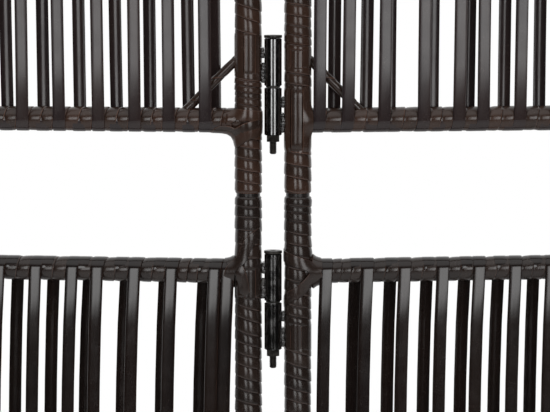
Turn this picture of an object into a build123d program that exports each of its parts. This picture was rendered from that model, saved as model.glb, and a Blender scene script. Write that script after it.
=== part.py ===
from build123d import *
import math
import os

# Folding screen of three panels, each two wrapped steel frames high. Every unit is a welded
# frame of tube, wrapped with flat strip and filled with one strip that is wound round its
# two rails. The units of a panel stand on each other on spigots, and bolted barrel hinges
# join the panels. The origin is on the floor at the middle of the screen. X runs along the
# screen, -Y is its front and Z is up. Lengths are in millimetres.

# Welded frame of one unit
UNIT_HEIGHT = 850.0
POST_SPACING = 378.0
POST_OD = 19.0
RAIL_OD = 15.0
TUBE_WALL = 1.2
BOTTOM_RAIL_RISE = 59.5
TOP_RAIL_DROP = 62.0
BRACE_ROD_D = 5.0
BRACE_LEG = 58.0

# Flat plastic strip, and what it is wound round
STRIP_WIDTH = 9.3
STRIP_THICKNESS = 1.2
WRAP_END_MARGIN = 1.2
WRAP_END_ROUND = 0.5
TURN_FACETS = 6

# Hinges, two on each unit
HINGE_POST_GAP = 40.0
HINGE_ABOVE_BOTTOM_RAIL = 27.0
HINGE_BELOW_TOP_RAIL = 24.0
BARREL_OD = 14.0
BARREL_LENGTH = 38.0
BARREL_CHAMFER = 0.6
LUG_THICKNESS = 6.0
LUG_SPANS = ((7.0, 15.0), (20.0, 35.0))
BOLT_D = 6.0
BOLT_HEAD_D = 14.4
BOLT_HEAD_HEIGHT = 2.3
BOLT_HEAD_ROUND = 0.8
BOLT_SOCKET_FLATS = 4.0
BOLT_SOCKET_DEPTH = 1.4
BOLT_BEYOND_NUT = 10.0
BOLT_END_CHAMFER = 0.6
NUT_FLATS = 10.0
NUT_HEIGHT = 5.0
WASHER_OD = 11.4
WASHER_THICKNESS = 1.0

# Connectors and plugs in the post ends
SPIGOT_LENGTH = 80.0
SPIGOT_WALL = 1.4
PLUG_FLANGE_D = 21.0
PLUG_FLANGE_HEIGHT = 3.0
PLUG_FLANGE_ROUND = 0.8
PLUG_INSERT_LENGTH = 15.0

# Clearances
WELD_GAP = 0.1
WRAP_FIT = 0.1
STRAND_FIT = 0.1
SLOT_FIT = 0.3
BOLT_FIT = 0.1
NUT_FIT = 0.05
HINGE_PLAY = 0.2
INSERT_FIT = 0.1

# How far each panel is turned from the line of the screen at rest, in degrees
PANEL_TURN = 8.0

# Places of the infill runs at the rail by the seam, from the post beside the hinge.
# Front and back runs take turns. Past the last listed place they follow at an even step.
RUN_STEP = 15.0
RUN_POST_CLEARANCE = 0.4
LEFT_UPPER_RUNS = (25.0, 34.2, 49.0, 62.5, 78.6, 91.2, 107.7, 121.1, 138.1)
MIDDLE_UPPER_RUNS = (16.2, 26.8, 39.1, 52.1, 68.5, 72.7, 100.7, 106.1, 129.4, 134.3)
LEFT_LOWER_RUNS = (17.9, 22.9, 27.8, 36.6, 62.6, 67.8, 93.0, 98.7, 123.0, 128.5)
MIDDLE_LOWER_RUNS = (20.9, 45.6, 54.1, 72.9, 83.6, 101.8, 115.0, 131.5, 145.3)
PLAIN_RUNS = (18.0,)

# How much further out each run is at the other rail
SPREAD_LEAN = 7.0
WIDE_LEAN = 10.0
INWARD_LEAN = -4.0

# Sizes that follow from the ones above
POST_R = POST_OD / 2
RAIL_R = RAIL_OD / 2
POST_WRAP_IR = POST_R + WRAP_FIT
POST_WRAP_R = POST_WRAP_IR + STRIP_THICKNESS
RAIL_WRAP_IR = RAIL_R + WRAP_FIT
RAIL_WRAP_R = RAIL_WRAP_IR + STRIP_THICKNESS
BRACE_R = BRACE_ROD_D / 2
BRACE_WRAP_IR = BRACE_R + WRAP_FIT
BRACE_WRAP_R = BRACE_WRAP_IR + STRIP_THICKNESS
FACET_ANGLE = math.pi / TURN_FACETS
STRAND_IR = (RAIL_WRAP_R + STRAND_FIT) / math.cos(FACET_ANGLE / 2)
STRAND_R = STRAND_IR + STRIP_THICKNESS
TOP_RAIL_RISE = UNIT_HEIGHT - TOP_RAIL_DROP
FIRST_RUN = POST_WRAP_R + STRIP_WIDTH / 2 + RUN_POST_CLEARANCE
AXIS_OFFSET = HINGE_POST_GAP / 2
AXIS_PITCH = POST_SPACING + HINGE_POST_GAP
BARREL_R = BARREL_OD / 2
BORE_R = BOLT_D / 2 + BOLT_FIT
BARREL_GAP = WASHER_THICKNESS + 2 * HINGE_PLAY
HINGE_RISES = (BOTTOM_RAIL_RISE + HINGE_ABOVE_BOTTOM_RAIL,
               TOP_RAIL_RISE - HINGE_BELOW_TOP_RAIL)
INSERT_R = POST_R - TUBE_WALL - INSERT_FIT
TIER_RISES = {"lower": PLUG_FLANGE_HEIGHT, "upper": PLUG_FLANGE_HEIGHT + UNIT_HEIGHT}
SEAM_RISE = TIER_RISES["upper"]
TOP_RISE = SEAM_RISE + UNIT_HEIGHT

ON_BASE = (Align.CENTER, Align.CENTER, Align.MIN)


def rod(radius, length):
    """Round bar standing on the origin."""
    return Cylinder(radius, length, align=ON_BASE)


def tube(outer_radius, inner_radius, length):
    """Round tube standing on the origin."""
    return rod(outer_radius, length) - rod(inner_radius, length)


def across(part, rise):
    """Lay a part that stands on the origin along X, at a height."""
    return Pos(0, 0, rise) * Rot(0, 90, 0) * part


def post_places():
    """X of the left and the right post of a unit."""
    return (0.0, POST_SPACING)


def rail_rises():
    """Height of the bottom and the top rail in a unit."""
    return (BOTTOM_RAIL_RISE, TOP_RAIL_RISE)


def post_bars(radius):
    """Bars that fill both post places, for cutting."""
    return Compound([Pos(x, 0, 0) * rod(radius, UNIT_HEIGHT) for x in post_places()])


def post():
    """Post tube of a unit, standing on its foot end."""
    return tube(POST_R, POST_R - TUBE_WALL, UNIT_HEIGHT)


def rail(rise):
    """Rail tube, cut to the shape of the posts at both ends."""
    return across(tube(RAIL_R, RAIL_R - TUBE_WALL, POST_SPACING), rise) - post_bars(
        POST_R + WELD_GAP)


def brace_bars(radius):
    """Both corner braces as bars from the post's centre line to the rail's."""
    length = BRACE_LEG * math.sqrt(2)
    left = Pos(0, 0, BOTTOM_RAIL_RISE + BRACE_LEG) * Rot(0, 135, 0) * rod(radius, length)
    right = Pos(POST_SPACING, 0, BOTTOM_RAIL_RISE + BRACE_LEG) * Rot(0, -135, 0) * rod(
        radius, length)
    return left, right


def between_surfaces(bar, post_radius, rail_radius):
    """Cut a brace back to the surface of the post and of the bottom rail."""
    rail_bar = across(rod(rail_radius, POST_SPACING), BOTTOM_RAIL_RISE)
    return bar - post_bars(post_radius) - rail_bar


def corner_braces():
    """Bare rods of both braces."""
    return [between_surfaces(bar, POST_R + WELD_GAP, RAIL_R + WELD_GAP)
            for bar in brace_bars(BRACE_R)]


def rounded_sleeve(outer_radius, inner_radius, length):
    """Tube with both outer rims rounded."""
    body = rod(outer_radius, length)
    body = fillet(body.edges().filter_by(GeomType.CIRCLE), WRAP_END_ROUND)
    return body - rod(inner_radius, length)


def hinge_side_x(panel):
    """X of the post that the infill is counted from, and the way it counts."""
    return (POST_SPACING, -1) if panel == "left" else (0.0, 1)


def barrel_posts(panel):
    """Posts that carry barrels: X of the post, side of the axis, upper or lower barrel."""
    right_side = (POST_SPACING, 1, "upper")
    left_side = (0.0, -1, "lower")
    return {"left": (right_side,), "middle": (left_side, right_side),
            "right": (left_side,)}[panel]


def barrel_base(kind, junction):
    """Height of a barrel's lower end, from the height of its hinge's junction."""
    if kind == "upper":
        return junction + BARREL_GAP / 2
    return junction - BARREL_GAP / 2 - BARREL_LENGTH


def lug_blocks(kind, junction, side, margin):
    """Weld lugs from the post's axis to the barrel's, grown by a margin for cutting."""
    base = barrel_base(kind, junction)
    blocks = []
    for low, high in LUG_SPANS:
        bottom = base + BARREL_LENGTH - high
        size = (AXIS_OFFSET, LUG_THICKNESS + 2 * margin, high - low + 2 * margin)
        place = Pos(side * AXIS_OFFSET / 2, 0, bottom + (high - low) / 2)
        blocks.append(place * Box(*size))
    return blocks


def post_wrap(panel, x):
    """Sleeve of strip round one post, open where the rails, brace and lugs pass."""
    length = UNIT_HEIGHT - 2 * WRAP_END_MARGIN
    sleeve = Pos(x, 0, WRAP_END_MARGIN) * rounded_sleeve(POST_WRAP_R, POST_WRAP_IR, length)
    for rise in rail_rises():
        sleeve -= across(rod(RAIL_R + WRAP_FIT, POST_SPACING), rise)
    for bar in brace_bars(BRACE_R + WRAP_FIT):
        sleeve -= bar
    for post_x, side, kind in barrel_posts(panel):
        if post_x == x:
            for junction in HINGE_RISES:
                for block in lug_blocks(kind, junction, side, SLOT_FIT):
                    sleeve -= Pos(x, 0, 0) * block
    return sleeve


def rail_wrap(rise):
    """Sleeve of strip round one rail, from post wrap to post wrap."""
    sleeve = across(tube(RAIL_WRAP_R, RAIL_WRAP_IR, POST_SPACING), rise)
    sleeve -= post_bars(POST_WRAP_R + WRAP_FIT)
    if rise == BOTTOM_RAIL_RISE:
        for bar in brace_bars(BRACE_R + WRAP_FIT):
            sleeve -= bar
    return sleeve


def brace_wraps():
    """Sleeves of strip round both braces, between the other wraps."""
    sleeves = []
    for outer, inner in zip(brace_bars(BRACE_WRAP_R), brace_bars(BRACE_WRAP_IR)):
        sleeves.append(between_surfaces(outer - inner, POST_WRAP_R + WRAP_FIT,
                                        RAIL_WRAP_R + WRAP_FIT))
    return sleeves


def wraps(panel):
    """All the wrapped strip of one unit."""
    return ([post_wrap(panel, x) for x in post_places()]
            + [rail_wrap(rise) for rise in rail_rises()] + brace_wraps())


def infill_plan(panel, tier):
    """Listed run places of a unit, and the lean of its runs."""
    return {
        ("left", "upper"): (LEFT_UPPER_RUNS, SPREAD_LEAN),
        ("middle", "upper"): (MIDDLE_UPPER_RUNS, SPREAD_LEAN),
        ("left", "lower"): (LEFT_LOWER_RUNS, WIDE_LEAN),
        ("middle", "lower"): (MIDDLE_LOWER_RUNS, INWARD_LEAN),
        ("right", "upper"): (PLAIN_RUNS, SPREAD_LEAN),
        ("right", "lower"): (PLAIN_RUNS, INWARD_LEAN),
    }[panel, tier]


def run_places(panel, tier):
    """X of every run at the bottom rail and at the top rail, in winding order."""
    listed, lean = infill_plan(panel, tier)
    last = POST_SPACING - FIRST_RUN - max(lean, 0.0)
    nearest = FIRST_RUN - min(lean, 0.0)
    steps = [max(place, nearest) for place in listed if place <= last]
    while steps[-1] + RUN_STEP <= last:
        steps.append(steps[-1] + RUN_STEP)
    start, way = hinge_side_x(panel)
    by_seam = [start + way * step for step in steps]
    far = [start + way * (step + lean) for step in steps]
    return (by_seam, far) if tier == "upper" else (far, by_seam)


def strip_section(x, angle, rise, up):
    """Strip's rectangle in a plane through the rail's axis; angle 0 is at the front."""
    direction = Vector(0, -math.cos(angle), up * math.sin(angle))
    corners = []
    for half, radius in ((-1, STRAND_IR), (1, STRAND_IR), (1, STRAND_R), (-1, STRAND_R)):
        point = direction * radius
        corners.append((x + half * STRIP_WIDTH / 2, point.Y, rise + point.Z))
    return Wire.make_polygon(corners, close=True)


def infill_sections(bottom_places, top_places, first_layer):
    """Sections of the whole winding: runs between the rails and half turns round them."""
    layer = first_layer
    at_top = True
    quarter = range(TURN_FACETS // 2, 0, -1)
    start_angle = 0.0 if layer == "front" else math.pi
    inward = 1 if layer == "front" else -1
    sections = [strip_section(top_places[0], start_angle + inward * step * FACET_ANGLE,
                              TOP_RAIL_RISE, 1) for step in quarter]
    for index in range(len(bottom_places)):
        angle = 0.0 if layer == "front" else math.pi
        ends = [(top_places[index], TOP_RAIL_RISE, 1),
                (bottom_places[index], BOTTOM_RAIL_RISE, -1)]
        for x, rise, up in ends if at_top else reversed(ends):
            sections.append(strip_section(x, angle, rise, up))
        at_top = not at_top
        places = top_places if at_top else bottom_places
        rise, up = (TOP_RAIL_RISE, 1) if at_top else (BOTTOM_RAIL_RISE, -1)
        turn = 1 if layer == "front" else -1
        last_run = index == len(bottom_places) - 1
        following = places[index] if last_run else places[index + 1]
        count = TURN_FACETS // 2 + 1 if last_run else TURN_FACETS
        for step in range(1, count):
            share = step / TURN_FACETS
            x = places[index] + (following - places[index]) * share
            sections.append(strip_section(x, angle + turn * step * FACET_ANGLE, rise, up))
        layer = "back" if layer == "front" else "front"
    return sections


def least_gap(bottom_places, top_places):
    """Smallest clear space between two neighbouring runs of the same layer."""
    gaps = []
    for places in (bottom_places, top_places):
        gaps += [abs(places[i + 2] - places[i]) - STRIP_WIDTH
                 for i in range(len(places) - 2)]
    return min(gaps)


def infill(panel, tier):
    """One strip wound round both rails of a unit."""
    bottom_places, top_places = run_places(panel, tier)
    first_layer = "back" if (panel, tier) == ("left", "upper") else "front"
    strip = Solid.make_loft(infill_sections(bottom_places, top_places, first_layer),
                            ruled=True)
    run = TOP_RAIL_RISE - BOTTOM_RAIL_RISE
    print(f"{panel} {tier} infill: {len(bottom_places) / 2:.1f} loops, "
          f"least gap {least_gap(bottom_places, top_places):.2f} mm, "
          f"volume {strip.volume / (STRIP_WIDTH * STRIP_THICKNESS * run):.2f} runs")
    return strip


def hinge_barrel(kind, junction, side):
    """Barrel on the hinge axis with its weld lugs, seen from the post's axis."""
    base = barrel_base(kind, junction)
    axis = Pos(side * AXIS_OFFSET, 0, base)
    sleeve = rod(BARREL_R, BARREL_LENGTH)
    sleeve = axis * chamfer(sleeve.edges().filter_by(GeomType.CIRCLE), BARREL_CHAMFER)
    for block in lug_blocks(kind, junction, side, 0.0):
        sleeve += block - Pos(0, 0, base) * rod(POST_R + WELD_GAP, BARREL_LENGTH)
    return sleeve - axis * rod(BORE_R, BARREL_LENGTH)


def panel_barrels(panel, kind):
    """Barrels of one kind on one panel, on both units."""
    barrels = []
    for post_x, side, post_kind in barrel_posts(panel):
        if post_kind == kind:
            for tier_rise in TIER_RISES.values():
                for junction in HINGE_RISES:
                    barrels.append(Pos(post_x, 0, tier_rise)
                                   * hinge_barrel(kind, junction, side))
    return barrels


def bolt():
    """Hinge bolt, head up, its head's underside at the origin's height."""
    below = (2 * BARREL_LENGTH + BARREL_GAP + 2 * HINGE_PLAY + NUT_HEIGHT
             + BOLT_BEYOND_NUT)
    head = rod(BOLT_HEAD_D / 2, BOLT_HEAD_HEIGHT)
    head = fillet(head.edges().filter_by(GeomType.CIRCLE).sort_by(Axis.Z)[-1:],
                  BOLT_HEAD_ROUND)
    socket = extrude(RegularPolygon(BOLT_SOCKET_FLATS / 2, 6, major_radius=False),
                     BOLT_SOCKET_DEPTH)
    shank = Pos(0, 0, -below) * rod(BOLT_D / 2, below)
    shank = chamfer(shank.edges().filter_by(GeomType.CIRCLE).sort_by(Axis.Z)[:1],
                    BOLT_END_CHAMFER)
    return head + shank - Pos(0, 0, BOLT_HEAD_HEIGHT - BOLT_SOCKET_DEPTH) * socket


def nut():
    """Hexagon nut standing on the origin."""
    body = extrude(RegularPolygon(NUT_FLATS / 2, 6, major_radius=False), NUT_HEIGHT)
    return body - rod(BOLT_D / 2 + NUT_FIT, NUT_HEIGHT)


def washer():
    """Plain washer standing on the origin."""
    return tube(WASHER_OD / 2, BORE_R, WASHER_THICKNESS)


def hinge_hardware(part_name):
    """One kind of fastener at every hinge of a line, on the line's axis."""
    head_rise = BARREL_GAP / 2 + BARREL_LENGTH + HINGE_PLAY
    nut_rise = -BARREL_GAP / 2 - BARREL_LENGTH - HINGE_PLAY - NUT_HEIGHT
    make, rise = {"bolts": (bolt, head_rise), "nuts": (nut, nut_rise),
                  "washers": (washer, -WASHER_THICKNESS / 2)}[part_name]
    return [Pos(0, 0, tier_rise + junction + rise) * make()
            for tier_rise in TIER_RISES.values() for junction in HINGE_RISES]


def spigots():
    """Tubes inside both stacked posts, half in each unit."""
    return [Pos(x, 0, SEAM_RISE - SPIGOT_LENGTH / 2)
            * tube(INSERT_R, INSERT_R - SPIGOT_WALL, SPIGOT_LENGTH) for x in post_places()]


def end_plug():
    """Plug with its flange down, the flange's outer face at the origin's height."""
    flange = rod(PLUG_FLANGE_D / 2, PLUG_FLANGE_HEIGHT)
    flange = fillet(flange.edges().filter_by(GeomType.CIRCLE).sort_by(Axis.Z)[:1],
                    PLUG_FLANGE_ROUND)
    return flange + rod(INSERT_R, PLUG_FLANGE_HEIGHT + PLUG_INSERT_LENGTH)


def end_plugs():
    """Feet and top caps of one panel."""
    plugs = []
    for x in post_places():
        plugs.append(Pos(x, 0, 0) * end_plug())
        plugs.append(Pos(x, 0, TOP_RISE + PLUG_FLANGE_HEIGHT) * Rot(180, 0, 0)
                     * end_plug())
    return plugs


def hinge_axes():
    """Places of the left and the right hinge line on the floor."""
    half = AXIS_PITCH / 2
    turn = math.radians(PANEL_TURN)
    x, y = half * math.cos(turn), half * math.sin(turn)
    return {"left": (-x, -y), "right": (x, y)}


def panel_place(panel):
    """Location of a panel: its left post's axis on the floor, and its turn."""
    turn = PANEL_TURN if panel == "middle" else -PANEL_TURN
    from_axis = {"left": -(POST_SPACING + AXIS_OFFSET), "middle": AXIS_OFFSET,
                 "right": AXIS_OFFSET}[panel]
    x, y = hinge_axes()["right" if panel == "right" else "left"]
    angle = math.radians(turn)
    return Location((x + from_axis * math.cos(angle), y + from_axis * math.sin(angle), 0),
                    (0, 0, turn))


def unit_pieces(panel, tier):
    """Every node of one unit, in the panel's own frame with the unit's foot at zero."""
    return {
        "left_post": [post()],
        "right_post": [Pos(POST_SPACING, 0, 0) * post()],
        "bottom_rail": [rail(BOTTOM_RAIL_RISE)],
        "top_rail": [rail(TOP_RAIL_RISE)],
        "corner_braces": corner_braces(),
        "wraps": wraps(panel),
        "infill": [infill(panel, tier)],
    }


def write_node(name, pieces, place):
    """Write one node's solids to its file."""
    solids = [solid for piece in pieces for solid in (place * piece).solids()]
    shape = solids[0] if len(solids) == 1 else Compound(children=solids)
    shape.label = name
    export_step(shape, f"parts/{name}.step")


def main():
    """Write all nodes, and print the places that the record repeats."""
    os.makedirs("parts", exist_ok=True)
    for panel in ("left", "middle", "right"):
        place = panel_place(panel)
        for tier, rise in TIER_RISES.items():
            for piece, solids in unit_pieces(panel, tier).items():
                write_node(f"{panel}_{tier}_{piece}", solids, place * Pos(0, 0, rise))
        write_node(f"{panel}_spigots", spigots(), place)
        write_node(f"{panel}_end_plugs", end_plugs(), place)
        for kind in ("upper", "lower"):
            barrels = panel_barrels(panel, kind)
            if barrels:
                write_node(f"{panel}_{kind}_barrels", barrels, place)
        print(f"{panel} panel: left post at {place.position}, turned {place.orientation.Z}")
    for line, (x, y) in hinge_axes().items():
        for part_name in ("bolts", "nuts", "washers"):
            write_node(f"{line}_hinge_{part_name}", hinge_hardware(part_name),
                       Location((x, y, 0)))
        print(f"{line} hinge line at {x:.4f}, {y:.4f}")


main()
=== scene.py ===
"""Looks of the wrapped folding screen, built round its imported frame.

Every post, rail and brace is covered with wound strip, each unit is filled with upright
runs of the same strip, and the hinges get their welds, bolts and nuts. Places come from
the frame's nodes. Sizes are in millimetres, and turn into metres where a mesh is made.
"""

import logging
import math
import random
from contextlib import contextmanager
from dataclasses import dataclass, field, replace
from enum import Enum
from functools import partial
from typing import Callable, Iterator

import bpy
import numpy as np
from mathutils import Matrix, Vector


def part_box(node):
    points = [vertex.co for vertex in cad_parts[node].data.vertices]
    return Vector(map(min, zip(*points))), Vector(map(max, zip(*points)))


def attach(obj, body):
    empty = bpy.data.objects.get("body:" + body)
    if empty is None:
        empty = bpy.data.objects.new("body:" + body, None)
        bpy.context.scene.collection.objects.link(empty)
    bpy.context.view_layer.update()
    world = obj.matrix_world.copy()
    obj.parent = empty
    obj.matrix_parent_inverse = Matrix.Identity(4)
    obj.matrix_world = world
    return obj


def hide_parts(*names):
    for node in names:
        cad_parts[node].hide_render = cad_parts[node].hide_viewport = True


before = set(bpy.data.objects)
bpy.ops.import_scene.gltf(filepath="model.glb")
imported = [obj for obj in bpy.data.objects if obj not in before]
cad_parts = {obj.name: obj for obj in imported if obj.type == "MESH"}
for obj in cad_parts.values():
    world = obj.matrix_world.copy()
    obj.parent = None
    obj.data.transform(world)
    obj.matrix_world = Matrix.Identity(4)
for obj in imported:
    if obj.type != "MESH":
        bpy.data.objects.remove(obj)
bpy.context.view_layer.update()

Colour = tuple[float, float, float, float]
Point = tuple[float, float, float]
Window = tuple[float, float, float, float]

LOG = logging.getLogger("screen")
MM = 0.001

# Strip, as it is cut and wound
STRIP_WIDTH = 9.3
TURN_SEGMENTS = 24
MERGE_DISTANCE = 0.02
CREASE_ANGLE = math.radians(38)
NUT_CREASE = math.radians(25)
BEAD_CREASE = math.radians(80)
SHARP_EDGE = math.radians(50)

# Wound covers: how high the tucked and the proud side of a turn lie
POST_TUCKED_R = 10.25
POST_PROUD_R = 11.0
RAIL_TUCKED_R = 9.1
RAIL_PROUD_R = 9.9
BRACE_TUCKED_R = 3.2
BRACE_PROUD_R = 3.8
COVER_END_ROUND = 1.5
COVER_END_DROP = 0.9
NARROW_TURN = 0.5
NARROWEST_TURN = 3.0
END_CLEARANCE = 4.0
BARE_RISE = 0.25
BARE_FADE = 2.0

# Turn of strip in section: share of the turn's width, and share of its rise
TURN_PROFILE = ((0.0, 0.0), (0.08, 0.42), (0.3, 0.8), (0.62, 0.95), (0.86, 1.0),
                (0.95, 0.88), (0.985, 0.55), (1.0, 0.0))

# Run of strip in section, round its edge: across, height, share of the width
RUN_SECTION = ((-5.15, -0.55, 0.0), (-5.0, -0.2, 0.03), (-4.4, -0.06, 0.1),
               (-1.8, 0.0, 0.33), (1.8, 0.0, 0.67), (4.4, -0.06, 0.9),
               (5.0, -0.2, 0.97), (5.15, -0.55, 1.0), (4.6, -0.92, 0.9),
               (0.0, -1.0, 0.5), (-4.6, -0.92, 0.1))
RUN_OUTER_R = 10.2
RUN_TURN = math.radians(215)
RUN_TURN_STEPS = 14
RUN_STEPS = 16
RUN_SINK = 1.5
RUN_TURN_SLANT = math.tan(math.radians(5))
RUN_SINK_FROM = 0.62
RUN_ROLL_STEP = 1.37
LEVEL_TOLERANCE = 0.05
STRAY_LENGTH = 150.0

# Bores of the covers, and the braces' reach along the post and the rail
POST_BORE_R = 9.6
RAIL_BORE_R = 7.6
BRACE_BORE_R = 2.6
BRACE_LEG = 58.0

# Strap laid over a joint in section: across, height, share of the width
STRAP_SECTION = ((-4.65, -0.1, 0.0), (-4.35, 0.45, 0.04), (-2.2, 0.62, 0.27),
                 (0.0, 0.66, 0.5), (2.2, 0.62, 0.73), (4.35, 0.45, 0.96),
                 (4.65, -0.1, 1.0), (3.6, -0.5, 0.9), (0.0, -0.55, 0.5),
                 (-3.6, -0.5, 0.1))
STRAP_STATIONS = 30
STRAP_END_SINK = 1.3
BEHIND_DROP = 0.1
STRAP_END_SHARE = 0.12
SETTLE_STEPS = 8
POST_REACH = 11.6
RAIL_REACH = 10.9
STRAP_POST_R = 10.75
STRAP_RAIL_R = 9.9
BARE_POST_R = 10.3
LAID_ANGLES = (-110.0, -62.0, -14.0, 34.0, 82.0, 130.0, 178.0)

# Hinge parts, as in the frame
BARREL_LENGTH = 38.0
BARREL_GAP = 1.4
LUG_SPANS = ((7.0, 15.0), (20.0, 35.0))
BOLT_REACH = 70.0
FASTENER_BODY = "middle_panel"
THREAD_PROFILE = ((0.0, 0.0), (0.38, 1.0), (0.5, 1.0), (0.88, 0.0), (1.0, 0.0))

# Finishes
STRIP_IOR = 1.5
# Pale grains and scuffs, partly painted glints
GRAIN_AND_GLINT_COLOUR = (0.16, 0.13, 0.12, 1)
# Painted shade along each turn's near edge, where it tucks under the turn before: its
# colour and strength
TUCKED_PAINTED_SHADE_COLOUR = (0.002, 0.0015, 0.0015, 1)
TUCKED_PAINTED_SHADE_SHARE = 0.6
PATCH_ROUGHNESS = 0.12
COAT_ROUGHNESS = 0.05


class Layer(Enum):
    """Side of the rails on which a run of the infill lies."""
    FRONT = -1
    BACK = 1


class Tier(Enum):
    """Unit of a panel."""
    LOWER = "lower"
    UPPER = "upper"


def deselect_all() -> None:
    """Leave nothing selected."""
    bpy.ops.object.select_all(action="DESELECT")


def take_up(piece: bpy.types.Object) -> None:
    """Select one piece alone and make it the active one.

    Args:
        piece: The piece to work on.
    """
    deselect_all()
    piece.select_set(True)
    bpy.context.view_layer.objects.active = piece


@contextmanager
def edit_mode(piece: bpy.types.Object) -> Iterator[None]:
    """Work on a piece in edit mode.

    Args:
        piece: The piece to edit.
    """
    take_up(piece)
    bpy.ops.object.mode_set(mode="EDIT")
    yield
    bpy.ops.object.mode_set(mode="OBJECT")


def apply_modifier(piece: bpy.types.Object, kind: str, **settings: object) -> None:
    """Add one modifier, set it and apply it.

    Args:
        piece: The piece to change.
        kind: The modifier's type.
        **settings: The modifier's values.
    """
    take_up(piece)
    modifier = piece.modifiers.new(kind.title(), kind)
    for name, value in settings.items():
        setattr(modifier, name, value)
    bpy.ops.object.modifier_apply(modifier=modifier.name)


def vertex_places(piece: bpy.types.Object) -> np.ndarray:
    """Give the places of a piece's vertices, one row each.

    Args:
        piece: The piece to read.

    Returns:
        The places.
    """
    places = np.empty(len(piece.data.vertices) * 3)
    piece.data.vertices.foreach_get("co", places)
    return places.reshape(-1, 3)


def set_vertex_places(piece: bpy.types.Object, places: np.ndarray) -> None:
    """Move a piece's vertices.

    Args:
        piece: The piece whose mesh changes.
        places: One row for each vertex.
    """
    piece.data.vertices.foreach_set("co", places.ravel())
    piece.data.update()


def join_pieces(pieces: list[bpy.types.Object], name: str) -> bpy.types.Object:
    """Join several pieces into one mesh.

    Args:
        pieces: The pieces, all of meshes of their own.
        name: The name of the piece that they become.

    Returns:
        The joined piece.
    """
    take_up(pieces[0])
    for piece in pieces[1:]:
        piece.select_set(True)
    if len(pieces) > 1:
        bpy.ops.object.join()
    joined = bpy.context.view_layer.objects.active
    joined.name = name
    joined.data.name = name
    return joined


def turn_outwards(piece: bpy.types.Object) -> None:
    """Point all the faces of a closed piece outwards.

    Args:
        piece: The piece, with a closed mesh.
    """
    with edit_mode(piece):
        bpy.ops.mesh.select_all(action="SELECT")
        bpy.ops.mesh.normals_make_consistent(inside=False)


def merge_and_find_open(distance: float) -> None:
    """Merge the vertices of the piece in edit mode, and select its open edges.

    Args:
        distance: How near two vertices lie to become one.
    """
    bpy.ops.mesh.select_all(action="SELECT")
    bpy.ops.mesh.remove_doubles(threshold=distance)
    bpy.ops.mesh.select_all(action="DESELECT")
    bpy.ops.mesh.select_non_manifold(extend=False, use_wire=False, use_multi_face=False,
                                     use_non_contiguous=False, use_verts=False)


def shade(piece: bpy.types.Object, crease: float = CREASE_ANGLE) -> None:
    """Shade a piece smooth, but for its sharp edges.

    Args:
        piece: The piece to shade.
        crease: The angle from which an edge stays sharp.
    """
    take_up(piece)
    bpy.ops.object.shade_smooth_by_angle(angle=crease)


def flat_sheet(name: str, columns: int,
               rows: int) -> tuple[bpy.types.Object, np.ndarray]:
    """Lay out a flat sheet of faces, to be wound or bent into place.

    Args:
        name: The name of the piece.
        columns: How many faces it has along its length.
        rows: How many faces it has across.

    Returns:
        The piece, and for each vertex its column and its row.
    """
    deselect_all()
    bpy.ops.mesh.primitive_grid_add(x_subdivisions=columns, y_subdivisions=rows, size=1,
                                    calc_uvs=True)
    piece = bpy.context.object
    piece.name = name
    piece.data.name = name
    flat = vertex_places(piece)
    counts = np.array([columns, rows])
    return piece, np.rint((flat[:, :2] + 0.5) * counts).astype(int)


def lay_out_uv(piece: bpy.types.Object, along: np.ndarray, across: np.ndarray) -> None:
    """Set a piece's UV map from two values at each vertex.

    Args:
        piece: The piece to change.
        along: Distance along the strip, in metres.
        across: Share of the strip's width.
    """
    corner_vertex = np.empty(len(piece.data.loops), dtype=int)
    piece.data.loops.foreach_get("vertex_index", corner_vertex)
    values = np.stack([along[corner_vertex], across[corner_vertex]], axis=1)
    piece.data.uv_layers[0].data.foreach_set("uv", values.ravel())


def smooth_path(points: np.ndarray, count: int) -> np.ndarray:
    """Pass a smooth curve through a few points.

    Args:
        points: The points to pass, one row each.
        count: How many points to give back.

    Returns:
        Points on the curve, evenly spread over its stretches.
    """
    padded = np.vstack([2 * points[0] - points[1], points, 2 * points[-1] - points[-2]])
    place = np.linspace(0, len(points) - 1, count)
    start = np.minimum(place.astype(int), len(points) - 2)
    part = (place - start)[:, None]
    before, here, there, after = (padded[start + step] for step in range(4))
    return 0.5 * (2 * here + (there - before) * part
                  + (2 * before - 5 * here + 4 * there - after) * part ** 2
                  + (3 * here - before - 3 * there + after) * part ** 3)


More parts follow.
